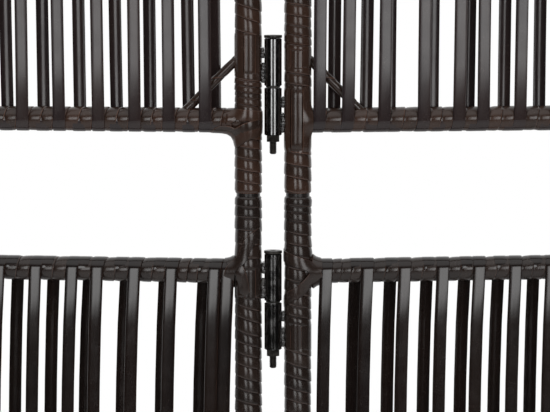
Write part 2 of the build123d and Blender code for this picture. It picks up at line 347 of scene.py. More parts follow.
@dataclass(frozen=True)
class Panel:
    """Place of one panel, from its post nodes.

    Panel points have X along the panel from its left post, Y towards its back and Z up.
    """
    name: str

    @property
    def start(self) -> np.ndarray:
        """Left post's axis, in millimetres."""
        return self.post_axis("left")

    @property
    def along(self) -> np.ndarray:
        """Direction from the left post to the right one."""
        way = self.post_axis("right") - self.start
        return way / np.linalg.norm(way)

    @property
    def span(self) -> float:
        """Distance between the posts' axes, in millimetres."""
        return float(np.linalg.norm(self.post_axis("right") - self.start))

    @property
    def body(self) -> str:
        """Body that the panel's pieces ride on."""
        return f"{self.name}_panel"

    def node(self, tier: Tier, piece: str) -> str:
        """Name of one of the panel's nodes.

        Args:
            tier: The unit.
            piece: The last part of the node's name.

        Returns:
            The name.
        """
        return f"{self.name}_{tier.value}_{piece}"

    def post_axis(self, side: str) -> np.ndarray:
        """Axis of a post of the lower unit, in millimetres.

        Args:
            side: The post's side of the panel.

        Returns:
            The axis, across and deep.
        """
        low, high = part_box(self.node(Tier.LOWER, f"{side}_post"))
        return np.array([low.x + high.x, low.y + high.y]) / 2 / MM

    def to_room(self, points: np.ndarray) -> np.ndarray:
        """Turn panel points into points of the row frame.

        Args:
            points: Points in millimetres.

        Returns:
            The points, in metres.
        """
        across = np.array([-self.along[1], self.along[0]])
        flat = (self.start + points[..., :1] * self.along + points[..., 1:2] * across)
        return np.concatenate([flat, points[..., 2:]], axis=-1) * MM

    def from_room(self, points: np.ndarray) -> np.ndarray:
        """Turn points of the row frame into panel points.

        Args:
            points: Points in metres.

        Returns:
            The points, in millimetres.
        """
        scaled = points / MM
        across = np.array([-self.along[1], self.along[0]])
        flat = scaled[:, :2] - self.start
        return np.stack([flat @ self.along, flat @ across, scaled[:, 2]], axis=1)


@dataclass(frozen=True)
class Unit:
    """One framed unit of a panel, with its heights read from the frame."""
    panel: Panel
    tier: Tier

    @property
    def name(self) -> str:
        """Start of the names of the unit's pieces."""
        return f"{self.panel.name}_{self.tier.value}"

    @property
    def foot(self) -> float:
        """Height of the posts' lower ends, in millimetres."""
        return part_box(self.panel.node(self.tier, "left_post"))[0].z / MM

    @property
    def head(self) -> float:
        """Height of the posts' upper ends, in millimetres."""
        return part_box(self.panel.node(self.tier, "left_post"))[1].z / MM

    def rail_height(self, rail: str) -> float:
        """Height of a rail's axis, in millimetres.

        Args:
            rail: Which of the rails.

        Returns:
            The height.
        """
        low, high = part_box(self.panel.node(self.tier, f"{rail}_rail"))
        return (low.z + high.z) / 2 / MM

    @property
    def seam_rail(self) -> str:
        """Rail that lies by the seam between the two units."""
        return "bottom" if self.tier is Tier.UPPER else "top"

    @property
    def seam_height(self) -> float:
        """Height of the seam between the two units, in millimetres."""
        return self.foot if self.tier is Tier.UPPER else self.head


def no_swelling(along: np.ndarray, angle: np.ndarray) -> np.ndarray:
    """Leave a cover as thick as it is.

    Args:
        along: Places along the bar.
        angle: Turns round the bar at those places.

    Returns:
        Zero for each place.
    """
    return 0 * (along + angle)


@dataclass
class Cover:
    """Strip wound edge over edge round a bar.

    The bar's axis is Z while the cover is made, and its front is at minus Y. Turn after
    turn starts further along, and each turn's far edge lies proud of the next one.
    """
    name: str
    edges: np.ndarray
    tucked: float
    proud: float
    bore: float
    segments: int = TURN_SEGMENTS
    tilt: Callable[[np.ndarray], np.ndarray] = np.zeros_like
    bare: tuple[tuple[float, float], ...] = ()
    swell: Callable[[np.ndarray, np.ndarray], np.ndarray] = no_swelling
    profile: tuple[tuple[float, float], ...] = TURN_PROFILE
    unevenness: float = 0.0
    solid: bool = False

    def bare_share(self, along: np.ndarray) -> np.ndarray:
        """How far the turns are evened out at each place along the bar.

        Args:
            along: Places along the bar.

        Returns:
            The share at each place.
        """
        share = np.zeros_like(along)
        for low, high in self.bare:
            inside = np.minimum(along - low, high - along) / BARE_FADE
            share = np.maximum(share, np.clip(inside, 0, 1))
        return share

    def build(self, place: Callable[[np.ndarray], np.ndarray]) -> bpy.types.Object:
        """Wind the cover and close it round its bore.

        Args:
            place: Turns the cover's own points into points of the row frame.

        Returns:
            The finished piece.
        """
        turns = len(self.edges)
        profile = np.array(self.profile)
        piece, steps = flat_sheet(self.name, turns * self.segments, len(profile) - 1)
        turn = steps[:, 0] / self.segments - 1
        across, rise = profile[steps[:, 1]].T
        numbers = np.arange(turns)
        lead = np.interp(turn, numbers, self.edges)
        trail = np.interp(turn + 1, numbers, self.edges)
        along = lead + (trail - lead) * across
        nominal = (self.edges[-1] - self.edges[0]) / max(turns - 1, 1)
        chance = random.Random(self.name)
        steps_up = np.array([1 + chance.uniform(-1, 1) * self.unevenness
                             for _ in range(turns)])
        rise = rise * np.clip((trail - lead) / (NARROW_TURN * nominal), 0, 1)
        rise = rise * np.interp(turn, numbers, steps_up)
        share = self.bare_share(along)
        rise = rise * (1 - share) + BARE_RISE * share
        angle = 2 * math.pi * turn
        from_end = np.minimum(along - self.edges[0], self.edges[-1] - along)
        rounding = np.clip(1 - from_end / COVER_END_ROUND, 0, 1) ** 2
        radius = (self.tucked + (self.proud - self.tucked) * rise
                  - COVER_END_DROP * rounding)
        radius = radius + self.swell(along, angle) * (1 - rounding)
        fade = np.clip(from_end / (2 * self.proud), 0, 1)
        shifted = along + self.tilt(along) * radius * np.sin(angle) * fade
        points = np.stack([radius * np.sin(angle), -radius * np.cos(angle), shifted], 1)
        set_vertex_places(piece, points)
        lay_out_uv(piece, turn * 2 * math.pi * self.proud * MM, across)
        self.close(piece)
        set_vertex_places(piece, place(vertex_places(piece)))
        turn_outwards(piece)
        return piece

    def close(self, piece: bpy.types.Object) -> None:
        """Merge the turns, and close both ends in to the bore.

        Args:
            piece: The wound sheet, in the cover's own millimetres.
        """
        with edit_mode(piece):
            bpy.ops.mesh.select_mode(type="EDGE")
            merge_and_find_open(MERGE_DISTANCE)
            if self.solid:
                bpy.ops.mesh.fill_holes(sides=0)
                return
            bpy.ops.mesh.extrude_edges_move()
        points = vertex_places(piece)
        chosen = np.empty(len(points), dtype=bool)
        piece.data.vertices.foreach_get("select", chosen)
        reach = np.hypot(points[:, 0], points[:, 1])[chosen, None]
        points[chosen, :2] *= self.bore / reach
        set_vertex_places(piece, points)
        with edit_mode(piece):
            bpy.ops.mesh.bridge_edge_loops()


@dataclass(frozen=True)
class SweptStrip:
    """A length of strip that follows a route, closed all round."""
    name: str
    section: tuple[Point, ...]

    def build(self, points: np.ndarray, length: np.ndarray,
              offset: float) -> bpy.types.Object:
        """Make the strip from its sections.

        Args:
            points: Points of the row frame, one row a station and one column a corner.
            length: Distance along the strip at each station, in millimetres.
            offset: Where the strip starts on the roll, in metres, for its finish.

        Returns:
            The piece.
        """
        corners = len(self.section)
        piece, steps = flat_sheet(self.name, len(points) - 1, corners)
        column, row = steps[:, 0], steps[:, 1] % corners
        set_vertex_places(piece, points[column, row])
        shares = np.array([corner[2] for corner in self.section])
        lay_out_uv(piece, length[column] * MM + offset, shares[row])
        with edit_mode(piece):
            merge_and_find_open(MERGE_DISTANCE * MM)
            bpy.ops.mesh.fill_holes(sides=0)
        turn_outwards(piece)
        return piece


def route_lengths(points: np.ndarray) -> np.ndarray:
    """Distance from the first point to each point of a route.

    Args:
        points: The route's points, one row each.

    Returns:
        The distances.
    """
    steps = np.linalg.norm(np.diff(points, axis=0), axis=1)
    return np.concatenate([[0.0], np.cumsum(steps)])


def unit_rows(rows: np.ndarray) -> np.ndarray:
    """Scale every row to a length of one.

    Args:
        rows: The rows to scale.

    Returns:
        The scaled rows.
    """
    return rows / np.linalg.norm(rows, axis=-1, keepdims=True)


@dataclass(frozen=True)
class Run:
    """One upright run of the infill, with its turns round both rails."""
    bottom: float
    top: float
    layer: Layer
    number: int

    def stations(self, low: float, high: float, bend: float, seam: float,
                 twist: float) -> tuple[np.ndarray, np.ndarray]:
        """Follow the run from under the bottom rail to over the top rail.

        Args:
            low: Height of the bottom rail's axis.
            high: Height of the top rail's axis.
            bend: How far the run strays from straight near the seam's rail.
            seam: Height of the rail by the seam.
            twist: Greatest turn of the run about its own length.

        Returns:
            Points on the run's outer face, and the directions that the face looks in.
        """
        side = self.layer.value
        angle = np.linspace(0, RUN_TURN, RUN_TURN_STEPS + 1)
        sink = np.clip((angle / RUN_TURN - RUN_SINK_FROM) / (1 - RUN_SINK_FROM), 0, 1)
        radius = RUN_OUTER_R - RUN_SINK * sink
        drift = RUN_TURN_SLANT * RUN_OUTER_R * angle
        out = side * np.cos(angle)
        below = np.stack([self.bottom + side * drift, radius * out,
                          low - radius * np.sin(angle)], 1)[::-1]
        above = np.stack([self.top - side * drift, radius * out,
                          high + radius * np.sin(angle)], 1)
        share = np.linspace(0, 1, RUN_STEPS + 1)[1:-1]
        height = low + (high - low) * share
        away = np.abs(height - seam) / STRAY_LENGTH
        stray = bend * away * np.exp(1 - away)
        middle = np.stack([self.bottom + (self.top - self.bottom) * share + stray,
                           np.full_like(share, side * RUN_OUTER_R), height], 1)
        facing = np.concatenate([
            np.stack([angle * 0, out, -np.sin(angle)], 1)[::-1],
            np.stack([np.sin(twist * np.sin(math.pi * share)),
                      side * np.cos(twist * np.sin(math.pi * share)), share * 0], 1),
            np.stack([angle * 0, out, np.sin(angle)], 1)])
        return np.concatenate([below, middle, above]), facing


# How far the runs of a unit bow sideways near the seam
UNIT_BENDS = {"left_lower": -2.6, "middle_lower": -2.5}

# How far the runs were pushed along the rails: place along the panel, shift
RUN_SHIFTS = {
    ("left_upper", Layer.FRONT): ((0.0, 0.0), (254.0, 1.0), (284.0, 0.8), (313.0, -0.4),
                                  (341.0, 0.9)),
    ("left_upper", Layer.BACK): ((0.0, 0.0), (271.0, -0.8), (300.0, -2.6),
                                 (329.0, -0.6), (353.0, -3.5)),
    ("left_lower", Layer.FRONT): ((0.0, 0.0), (254.0, 1.0), (283.0, 1.8), (313.0, 1.1),
                                  (348.0, 1.8), (358.0, 6.0)),
    ("left_lower", Layer.BACK): ((0.0, 0.0), (251.0, -3.4), (280.0, -1.9),
                                 (311.0, -1.4), (342.0, -0.7)),
    ("middle_upper", Layer.BACK): ((26.0, 4.0), (51.0, 4.7), (71.0, 3.2), (104.0, 5.0),
                                   (133.0, 6.4), (378.0, 0.0)),
    ("middle_lower", Layer.FRONT): ((22.0, 0.6), (52.0, 0.9), (84.0, 2.0),
                                    (115.0, 1.6), (378.0, 0.0)),
    ("middle_lower", Layer.BACK): ((41.0, 3.1), (68.0, 4.5), (96.0, 5.5), (125.0, 7.2),
                                   (378.0, 0.0)),
}


@dataclass
class Infill:
    """All the upright runs of one unit."""
    unit: Unit
    bend: float = 0.0
    bend_spread: float = 0.6
    twist: float = math.radians(3)

    def read_runs(self) -> list[Run]:
        """Read the runs' places at both rails from the unit's infill node.

        Returns:
            The runs, in order along the panel.
        """
        node = self.unit.panel.node(self.unit.tier, "infill")
        points = self.unit.panel.from_room(vertex_places(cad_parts[node]))
        runs = []
        for layer in Layer:
            outer = points[:, 1] * layer.value > RUN_OUTER_R
            centres = []
            for rail in ("bottom", "top"):
                away = np.abs(points[:, 2] - self.unit.rail_height(rail))
                level = away < LEVEL_TOLERANCE
                corners = np.unique(np.round(points[outer & level, 0], 1))
                centres.append((corners[::2] + corners[1::2]) / 2)
            shifts = np.array(RUN_SHIFTS.get((self.unit.name, layer), ((0.0, 0.0),)))
            runs += [(bottom + shift, top + shift, layer) for bottom, top, shift in
                     zip(*centres, np.interp(centres[0], shifts[:, 0], shifts[:, 1]))]
        runs.sort(key=lambda run: run[0])
        return [Run(*run, number) for number, run in enumerate(runs)]

    def build(self) -> bpy.types.Object:
        """Make every run and join them into the unit's infill."""
        low, high = self.unit.rail_height("bottom"), self.unit.rail_height("top")
        seam = self.unit.rail_height(self.unit.seam_rail)
        chance = random.Random(f"{self.unit.name} infill")
        strips = []
        for run in self.read_runs():
            bend = self.bend + chance.uniform(-1, 1) * self.bend_spread
            twist = chance.uniform(-self.twist, self.twist)
            centre, facing = run.stations(low, high, bend, seam, twist)
            way = unit_rows(np.gradient(centre, axis=0))
            lateral = unit_rows(np.cross(way, facing))
            facing = np.cross(lateral, way)
            section = np.array(RUN_SECTION)
            points = (centre[:, None] + section[None, :, :1] * lateral[:, None]
                      + section[None, :, 1:2] * facing[:, None])
            strip = SweptStrip(f"{self.unit.name}_run", RUN_SECTION)
            strips.append(strip.build(self.unit.panel.to_room(points),
                                      route_lengths(centre),
                                      run.number * RUN_ROLL_STEP))
        piece = join_pieces(strips, f"{self.unit.name}_strands")
        shade(piece)
        return piece


@dataclass(frozen=True)
class PostWinding:
    """How the strip lies on a post near the seam, in heights above the seam."""
    lines: tuple[float, ...] = ()
    bare: tuple[tuple[float, float], ...] = ()
    tilts: tuple[tuple[float, float], ...] = ((0.0, 0.0),)
    swellings: tuple[tuple[float, float, float, float], ...] = ()


HINGE_WINDINGS = {
    (Tier.UPPER, "right"): PostWinding(
        lines=(140.9, 129.5, 120.0, 111.0, 102.0, 91.7, 87.7, 82.1, 78.1, 72.5, 64.9,
               58.2, 51.7, 45.7, 38.3, 29.3, 19.7, 10.1),
        bare=((97.0, 128.0),),
        tilts=((0.0, 0.02), (60.0, 0.04), (110.0, 0.06), (129.5, 0.09), (141.0, 0.18),
               (200.0, 0.05)),
        swellings=((0.5, 116.0, -0.6, 3.0),)),
    (Tier.UPPER, "left"): PostWinding(
        lines=(142.9, 127.8, 120.1, 115.8, 106.0, 97.0, 88.0, 79.0, 70.0, 61.0, 52.0,
               43.0, 33.5, 23.7, 13.3, 4.5),
        bare=((103.0, 115.5), (34.0, 86.0)),
        tilts=((0.0, 0.12), (13.0, 0.06), (24.0, 0.0), (115.0, 0.0), (127.8, 0.06),
               (143.0, 0.0)),
        swellings=()),
    (Tier.LOWER, "right"): PostWinding(
        lines=(-9.6, -17.9, -28.3, -39.8, -50.6, -61.0, -71.0, -81.0, -90.5, -99.9,
               -111.5, -120.3, -129.0, -138.0),
        bare=((-82.0, -60.0),),
        tilts=((-190.0, 0.06), (-112.0, 0.17), (-92.0, 0.17), (-60.0, -0.14),
               (0.0, -0.12)),
        swellings=((0.5, -51.0, -1.4, 8.0),)),
    (Tier.LOWER, "left"): PostWinding(
        lines=(-8.8, -14.0, -21.1, -31.5, -40.3, -50.0, -60.0, -70.0, -80.0, -90.0,
               -98.0, -107.5, -117.0, -127.4, -138.0, -148.0),
        bare=((-124.0, -104.5),),
        tilts=((-190.0, 0.1), (-130.0, 0.13), (-40.0, 0.02), (0.0, 0.0)),
        swellings=((1.2, -51.0, 1.5, 12.0), (0.6, -4.5, 1.5, 4.0))),
}


@dataclass
class Winding:
    """Strip wound on the posts, rails and braces of one unit."""
    unit: Unit
    pitch: float = 9.6
    pitch_spread: float = 0.7
    brace_pitch: float = 26.0
    brace_ends: tuple[float, float, float] = (9.0, 15.0, 7.0)
    end_overlap: float = 3.0
    post_unevenness: float = 0.35
    rail_unevenness: float = 0.3
    rail_segments: int = 20
    brace_segments: int = 14

    def wrap_span(self) -> tuple[float, float]:
        """Lowest and highest point of the unit's wound strip.

        Returns:
            Both heights, in millimetres.
        """
        low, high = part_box(self.unit.panel.node(self.unit.tier, "wraps"))
        return low.z / MM, high.z / MM

    def hinge_winding(self, side: str) -> PostWinding:
        """How the strip lies on a post, which is wound its own way beside a hinge.

        Args:
            side: The post's side of the panel.

        Returns:
            The winding, which is plain away from the hinges.
        """
        panel = self.unit.panel.name
        if (panel, side) in (("left", "left"), ("right", "right")):
            return PostWinding()
        return HINGE_WINDINGS[self.unit.tier, side]

    def post_lines(self, side: str, winding: PostWinding) -> np.ndarray:
        """Depths below the post's head at which the strip crosses its front.

        Args:
            side: The post's side of the panel.
            winding: The known crossings near the seam.

        Returns:
            Depths in rising order, from the wound part's upper end to its lower one.
        """
        low, high = self.wrap_span()
        chance = random.Random(f"{self.unit.name} {side} post")
        seam = self.unit.seam_height
        known = sorted((seam + line for line in winding.lines), reverse=True)
        stops = [high] + [height for height in known
                          if low + END_CLEARANCE < height < high - END_CLEARANCE]
        stops.append(low)
        heights = [high]
        for above, below in zip(stops, stops[1:]):
            count = max(1, round((above - below) / self.pitch))
            steps = np.array([1 + chance.uniform(-1, 1) * self.pitch_spread / self.pitch
                              for _ in range(count)])
            heights += list(above - (above - below) * np.cumsum(steps) / steps.sum())
        return self.unit.head - np.array(heights)

    def build_post(self, side: str) -> bpy.types.Object:
        """Wind one post.

        Args:
            side: The post's side of the panel.

        Returns:
            The wound strip of the post.
        """
        panel, head = self.unit.panel, self.unit.head
        post_x = 0.0 if side == "left" else panel.span
        winding = self.hinge_winding(side)
        seam = self.unit.seam_height
        heights, slopes = np.array(winding.tilts).T

        def tilt(along: np.ndarray) -> np.ndarray:
            """Slope of the turns beyond a plain winding's."""
            return np.interp(head - along - seam, heights, slopes)

        def swell(along: np.ndarray, angle: np.ndarray) -> np.ndarray:
            """Thickening where strip lies doubled."""
            total = np.zeros_like(along)
            for amount, height, side_angle, reach in winding.swellings:
                away = ((head - along - seam - height) / reach) ** 2
                turn = 2 * (1 - np.cos(angle - side_angle))
                total += amount * np.exp(-away - turn)
            return total

        def place(points: np.ndarray) -> np.ndarray:
            """Stand the cover on the post."""
            return panel.to_room(np.stack([post_x + points[:, 0], points[:, 1],
                                           head - points[:, 2]], 1))

        bare = tuple((head - seam - high, head - seam - low)
                     for low, high in winding.bare)
        cover = Cover(f"{self.unit.name}_{side}_post_wrap",
                      self.post_lines(side, winding), POST_TUCKED_R, POST_PROUD_R,
                      POST_BORE_R, tilt=tilt, bare=bare,
                      swell=swell, unevenness=self.post_unevenness)
        piece = cover.build(place)
        shade(piece)
        return piece

    def rail_lines(self, runs: list[Run], rail: str) -> np.ndarray:
        """Places along a rail at which its strip crosses the front.

        Args:
            runs: The unit's infill, whose front runs take places on the rail.
            rail: Which of the rails.

        Returns:
            Places in rising order.
        """
        start, end = self.end_overlap, self.unit.panel.span - self.end_overlap
        taken = [getattr(run, rail) for run in runs if run.layer is Layer.FRONT]
        stops = [start]
        for place in taken:
            for edge in (place - STRIP_WIDTH / 2, place + STRIP_WIDTH / 2):
                if stops[-1] + NARROWEST_TURN < edge < end - NARROWEST_TURN:
                    stops.append(edge)
        stops.append(end)
        lines = [start]
        for before, after in zip(stops, stops[1:]):
            count = max(1, round((after - before) / self.pitch))
            lines += list(np.linspace(before, after, count + 1)[1:])
        return np.array(lines)

    def build_rail(self, rail: str, runs: list[Run]) -> bpy.types.Object:
        """Wind one rail.

        Args:
            rail: Which of the rails.
            runs: The unit's infill.

        Returns:
            The wound strip of the rail.
        """
        panel, rise = self.unit.panel, self.unit.rail_height(rail)

        def place(points: np.ndarray) -> np.ndarray:
            """Lay the cover on the rail."""
            return panel.to_room(np.stack([points[:, 2], points[:, 1],
                                           rise + points[:, 0]], 1))

        cover = Cover(f"{self.unit.name}_{rail}_rail_wrap", self.rail_lines(runs, rail),
                      RAIL_TUCKED_R, RAIL_PROUD_R, RAIL_BORE_R,
                      segments=self.rail_segments, unevenness=self.rail_unevenness)
        piece = cover.build(place)
        shade(piece)
        return piece

    def build_braces(self) -> bpy.types.Object:
        """Wind both corner braces, between the post and the bottom rail.

        Returns:
            The wound strip of both braces.
        """
        panel, rise = self.unit.panel, self.unit.rail_height("bottom")
        pieces = []
        for post_x, way in ((0.0, 1.0), (panel.span, -1.0)):
            start = np.array([post_x, 0.0, rise + BRACE_LEG])
            down = np.array([way, 0.0, -1.0]) / math.sqrt(2)
            out = np.array([way, 0.0, 1.0]) / math.sqrt(2)

            def place(points: np.ndarray) -> np.ndarray:
                """Lay the cover on the brace."""
                return panel.to_room(start + points[:, 2:] * down + points[:, :1] * out
                                     + points[:, 1:2] * np.array([0.0, 1.0, 0.0]))

            length = BRACE_LEG * math.sqrt(2)
            first, before_last, last = self.brace_ends
            lines = np.append(np.arange(first, length - before_last, self.brace_pitch),
                              length - last)
            cover = Cover(f"{self.unit.name}_brace", lines, BRACE_TUCKED_R,
                          BRACE_PROUD_R, BRACE_BORE_R, segments=self.brace_segments)
            pieces.append(cover.build(place))
        piece = join_pieces(pieces, f"{self.unit.name}_brace_wraps")
        shade(piece)
        return piece


@dataclass(frozen=True)
class JointShape:
    """Smooth skin over a wound post and rail, which straps lie on.

    Its points have X from the post's axis towards the rail, Y towards the back, and Z
    up from the rail's axis.
    """
    softness: float = 1.2
    post_r: float = STRAP_POST_R
    rail_r: float = STRAP_RAIL_R
    rail_start: float = 8.0
    has_rail: bool = True

    def distance(self, points: np.ndarray) -> np.ndarray:
        """How far points lie outside the skin.

        Args:
            points: The points.

        Returns:
            The distances, below 0 inside.
        """
        post = np.hypot(points[..., 0], points[..., 1]) - self.post_r
        if not self.has_rail:
            return post
        before = np.maximum(self.rail_start - points[..., 0], 0.0)
        rail = np.sqrt(before ** 2 + points[..., 1] ** 2 + points[..., 2] ** 2)
        rail = rail - self.rail_r
        return -self.softness * np.logaddexp(-post / self.softness,
                                             -rail / self.softness)

    def outward(self, points: np.ndarray) -> np.ndarray:
        """Slope of the distance at each point.

        Args:
            points: The points.

        Returns:
            The slope along each axis.
        """
        step = 0.01
        value = self.distance(points)
        return np.stack([(self.distance(points + step * axis) - value) / step
                         for axis in np.eye(3)], axis=-1)

    def settle(self, points: np.ndarray, lift: np.ndarray | float) -> np.ndarray:
        """Bring points to a given height over the skin.

        Args:
            points: Points near the skin.
            lift: Height over the skin, for each point or for all.

        Returns:
            The settled points.
        """
        for _ in range(SETTLE_STEPS):
            slope = self.outward(points)
            move = (lift - self.distance(points)) / np.sum(slope ** 2, axis=-1)
            points = points + move[..., None] * slope
        return points


def on_post(angle: float, rise: float) -> Point:
    """Point near a post's surface.

    Args:
        angle: Degrees from the post's front towards the rail.
        rise: Height over the rail's axis.

    Returns:
        The point.
    """
    turn = math.radians(angle)
    return POST_REACH * math.sin(turn), -POST_REACH * math.cos(turn), rise


def on_rail(along: float, angle: float) -> Point:
    """Point near a rail's surface.

    Args:
        along: Distance from the post's axis.
        angle: Degrees from the rail's front upwards.

    Returns:
        The point.
    """
    turn = math.radians(angle)
    return along, -RAIL_REACH * math.cos(turn), RAIL_REACH * math.sin(turn)


@dataclass(frozen=True)
class Strap:
    """Length of strip laid over a joint or along a post."""
    route: tuple[Point, ...]
    softness: float = 1.2
    lift: float = 0.3
    shape: JointShape | None = None

    def stations(self) -> tuple[np.ndarray, np.ndarray]:
        """Lay the strap's section along its route.

        Returns:
            The section's corners at each station, and the distance along the strap.
        """
        shape = self.shape or JointShape(self.softness)
        route = smooth_path(np.array(self.route), STRAP_STATIONS)
        centre = shape.settle(route, self.lift)
        way = unit_rows(np.gradient(centre, axis=0))
        lateral = unit_rows(np.cross(way, unit_rows(shape.outward(centre))))
        share = np.linspace(0, 1, STRAP_STATIONS)
        from_end = np.minimum(share, 1 - share)
        sunk = STRAP_END_SINK * np.clip(1 - from_end / STRAP_END_SHARE, 0, 1) ** 2
        columns = [shape.settle(centre + across * lateral, self.lift + height - sunk)
                   for across, height, _ in STRAP_SECTION]
        return np.stack(columns, axis=1), route_lengths(centre)


class JointDesign(Enum):
    """Ways in which the strip goes over a joint."""
    CROSSED = (
        Strap((on_rail(26, -140), on_rail(26, -88), (19.0, -7.0, -15.5),
               on_post(55, -17), on_post(5, -12), on_post(-45, -9), on_post(-100, -6),
               on_post(-150, -5)), 4.0, 0.0),
        Strap((on_rail(24, -130), on_rail(24, -60), (16.5, -10.0, -10.0),
               on_post(45, -9.5), on_post(0, -6), on_post(-45, -3.5), on_post(-100, -1),
               on_post(-150, 1)), 3.5, 0.15),
        Strap((on_rail(17, 10), on_rail(14, 12), on_post(48, 5), on_post(5, 4),
               on_post(-45, 3.5), on_post(-100, 3), on_post(-160, 3)), 1.6, 0.4),
    )
    LENGTHWISE = (
        Strap((on_post(-62, 27), on_post(-62, 0), on_post(-62, -25))),
        Strap((on_post(-14, 26), on_post(-14, 0), on_post(-14, -24)), lift=0.36),
        Strap((on_post(34, 27), on_post(34, 0), on_post(34, -26)), 2.5),
    )
    HOOKED = (
        Strap((on_rail(14, -120), on_rail(14.5, -60), on_rail(14, -12),
               (11.5, -10.8, 4.0), on_post(25, 10), on_post(6, 18), on_post(-16, 25),
               on_post(-50, 30), on_post(-90, 33)), 3.0, 0.25),
        Strap((on_rail(14, 140), on_rail(14.5, 80), (12.0, -9.0, 9.0), on_post(30, 2),
               on_post(14, -8), on_post(6, -20)), 2.5, 0.1),
    )
    POINTED = (
        Strap((on_rail(14, 130), on_rail(14.5, 70), on_rail(14, 20),
               (12.0, -10.8, -2.0), on_post(30, -9), on_post(0, -15),
               on_post(-45, -20), on_post(-90, -24),
               on_post(-130, -26)), 3.5, 0.1),
        Strap((on_rail(14, -130), on_rail(14.5, -70), on_rail(14, -20),
               (12.0, -10.8, 1.0), on_post(35, 5), on_post(0, 8),
               on_post(-50, 11), on_post(-100, 14),
               on_post(-140, 16)), 3.5, 0.25),
    )


JOINT_DESIGNS = {("bottom", "right"): JointDesign.CROSSED,
                 ("bottom", "left"): JointDesign.LENGTHWISE,
                 ("top", "right"): JointDesign.HOOKED,
                 ("top", "left"): JointDesign.POINTED}


@dataclass
class JointStraps:
    """Straps over the joints of one unit, and strips laid along its posts."""
    unit: Unit
    unevenness: float = 0.5

    def build(self) -> bpy.types.Object:
        """Make every strap and join them."""
        pieces = []
        for (rail, side), design in JOINT_DESIGNS.items():
            rise = self.unit.rail_height(rail)
            chance = random.Random(f"{self.unit.name} {rail} {side}")
            for strap in design.value:
                pieces.append(self.lay(strap, side, rise, 1.0, chance))
                if len(strap.route) > 3:
                    behind = replace(strap, route=strap.route[:-2],
                                     lift=strap.lift - BEHIND_DROP)
                    pieces.append(self.lay(behind, side, rise, -1.0, chance))
        winding = Winding(self.unit)
        for side in ("left", "right"):
            for low, high in winding.hinge_winding(side).bare:
                pieces += self.lay_along(side, low, high)
        piece = join_pieces(pieces, f"{self.unit.name}_joint_straps")
        shade(piece)
        return piece

    def lay_along(self, side: str, low: float, high: float) -> list[bpy.types.Object]:
        """Lay strips lengthwise where a post has no turns.

        Args:
            side: The post's side of the panel.
            low: Lower end of the stretch, above the seam.
            high: Upper end of the stretch, above the seam.

        Returns:
            The strips.
        """
        shape = JointShape(post_r=BARE_POST_R, has_rail=False)
        chance = random.Random(f"{self.unit.name} {side} {low}")
        strips = []
        for angle in LAID_ANGLES:
            top, bottom = high + chance.uniform(1, 4), low - chance.uniform(1, 4)
            drift = chance.uniform(-3, 3)
            route = (on_post(angle, bottom), on_post(angle + drift, (low + high) / 2),
                     on_post(angle, top))
            strap = Strap(route, lift=chance.uniform(0.0, 0.2), shape=shape)
            strips.append(self.lay(strap, side, self.unit.seam_height, 1.0, chance))
        return strips

    def lay(self, strap: Strap, side: str, rise: float, face: float,
            chance: random.Random) -> bpy.types.Object:
        """Make one strap at its joint.

        Args:
            strap: The strap to lay.
            side: The post's side of the panel.
            rise: Height of the strap's zero point.
            face: 1 at the front, or -1 at the back.
            chance: Source of the small differences between straps.

        Returns:
            The strap.
        """
        panel = self.unit.panel
        post_x, way = (0.0, 1.0) if side == "left" else (panel.span, -1.0)
        uneven = tuple((along, depth, up + chance.uniform(-1, 1) * self.unevenness)
                       for along, depth, up in strap.route)
        points, length = replace(strap, route=uneven).stations()
        points = points * np.array([way, face, 1.0]) + np.array([post_x, 0.0, rise])
        made = SweptStrip(f"{self.unit.name}_strap", STRAP_SECTION)
        return made.build(panel.to_room(points), length, chance.uniform(0, 40))


def add_cylinder(name: str, sides: int, radius: float, low: float,
                 high: float) -> bpy.types.Object:
    """Add an upright cylinder on the Z axis, in millimetres.

    Args:
        name: The piece's name.
        sides: Number of its sides.
        radius: Radius over its corners.
        low: Height of its lower end.
        high: Height of its upper end.

    Returns:
        The piece, with its place in its mesh.
    """
    deselect_all()
    bpy.ops.mesh.primitive_cylinder_add(vertices=sides, radius=radius, depth=high - low,
                                        location=(0, 0, (low + high) / 2))
    bpy.ops.object.transform_apply(location=True, rotation=True, scale=True)
    piece = bpy.context.object
    piece.name = name
    piece.data.name = name
    return piece


def carve(piece: bpy.types.Object, tool: bpy.types.Object, operation: str) -> None:
    """Cut a piece with another, which is then put away.

    Args:
        piece: The piece to cut.
        tool: The shape to cut with.
        operation: The kind of cut.
    """
    apply_modifier(piece, "BOOLEAN", object=tool, operation=operation, solver="EXACT")
    bpy.data.objects.remove(tool)


def place_copies(model: bpy.types.Object, places: list[np.ndarray],
                 name: str) -> bpy.types.Object:
    """Copy a finished shape to several places and join the copies.

    Args:
        model: The shape, in millimetres about the origin.
        places: Where the copies go, in millimetres of the row frame.
        name: The name of the joined piece.

    Returns:
        The joined piece, in metres.
    """
    shape = vertex_places(model)
    copies = []
    for place in places:
        take_up(model)
        bpy.ops.object.duplicate()
        copied = bpy.context.object
        set_vertex_places(copied, (shape + place) * MM)
        copies.append(copied)
    bpy.data.objects.remove(model)
    return join_pieces(copies, name)


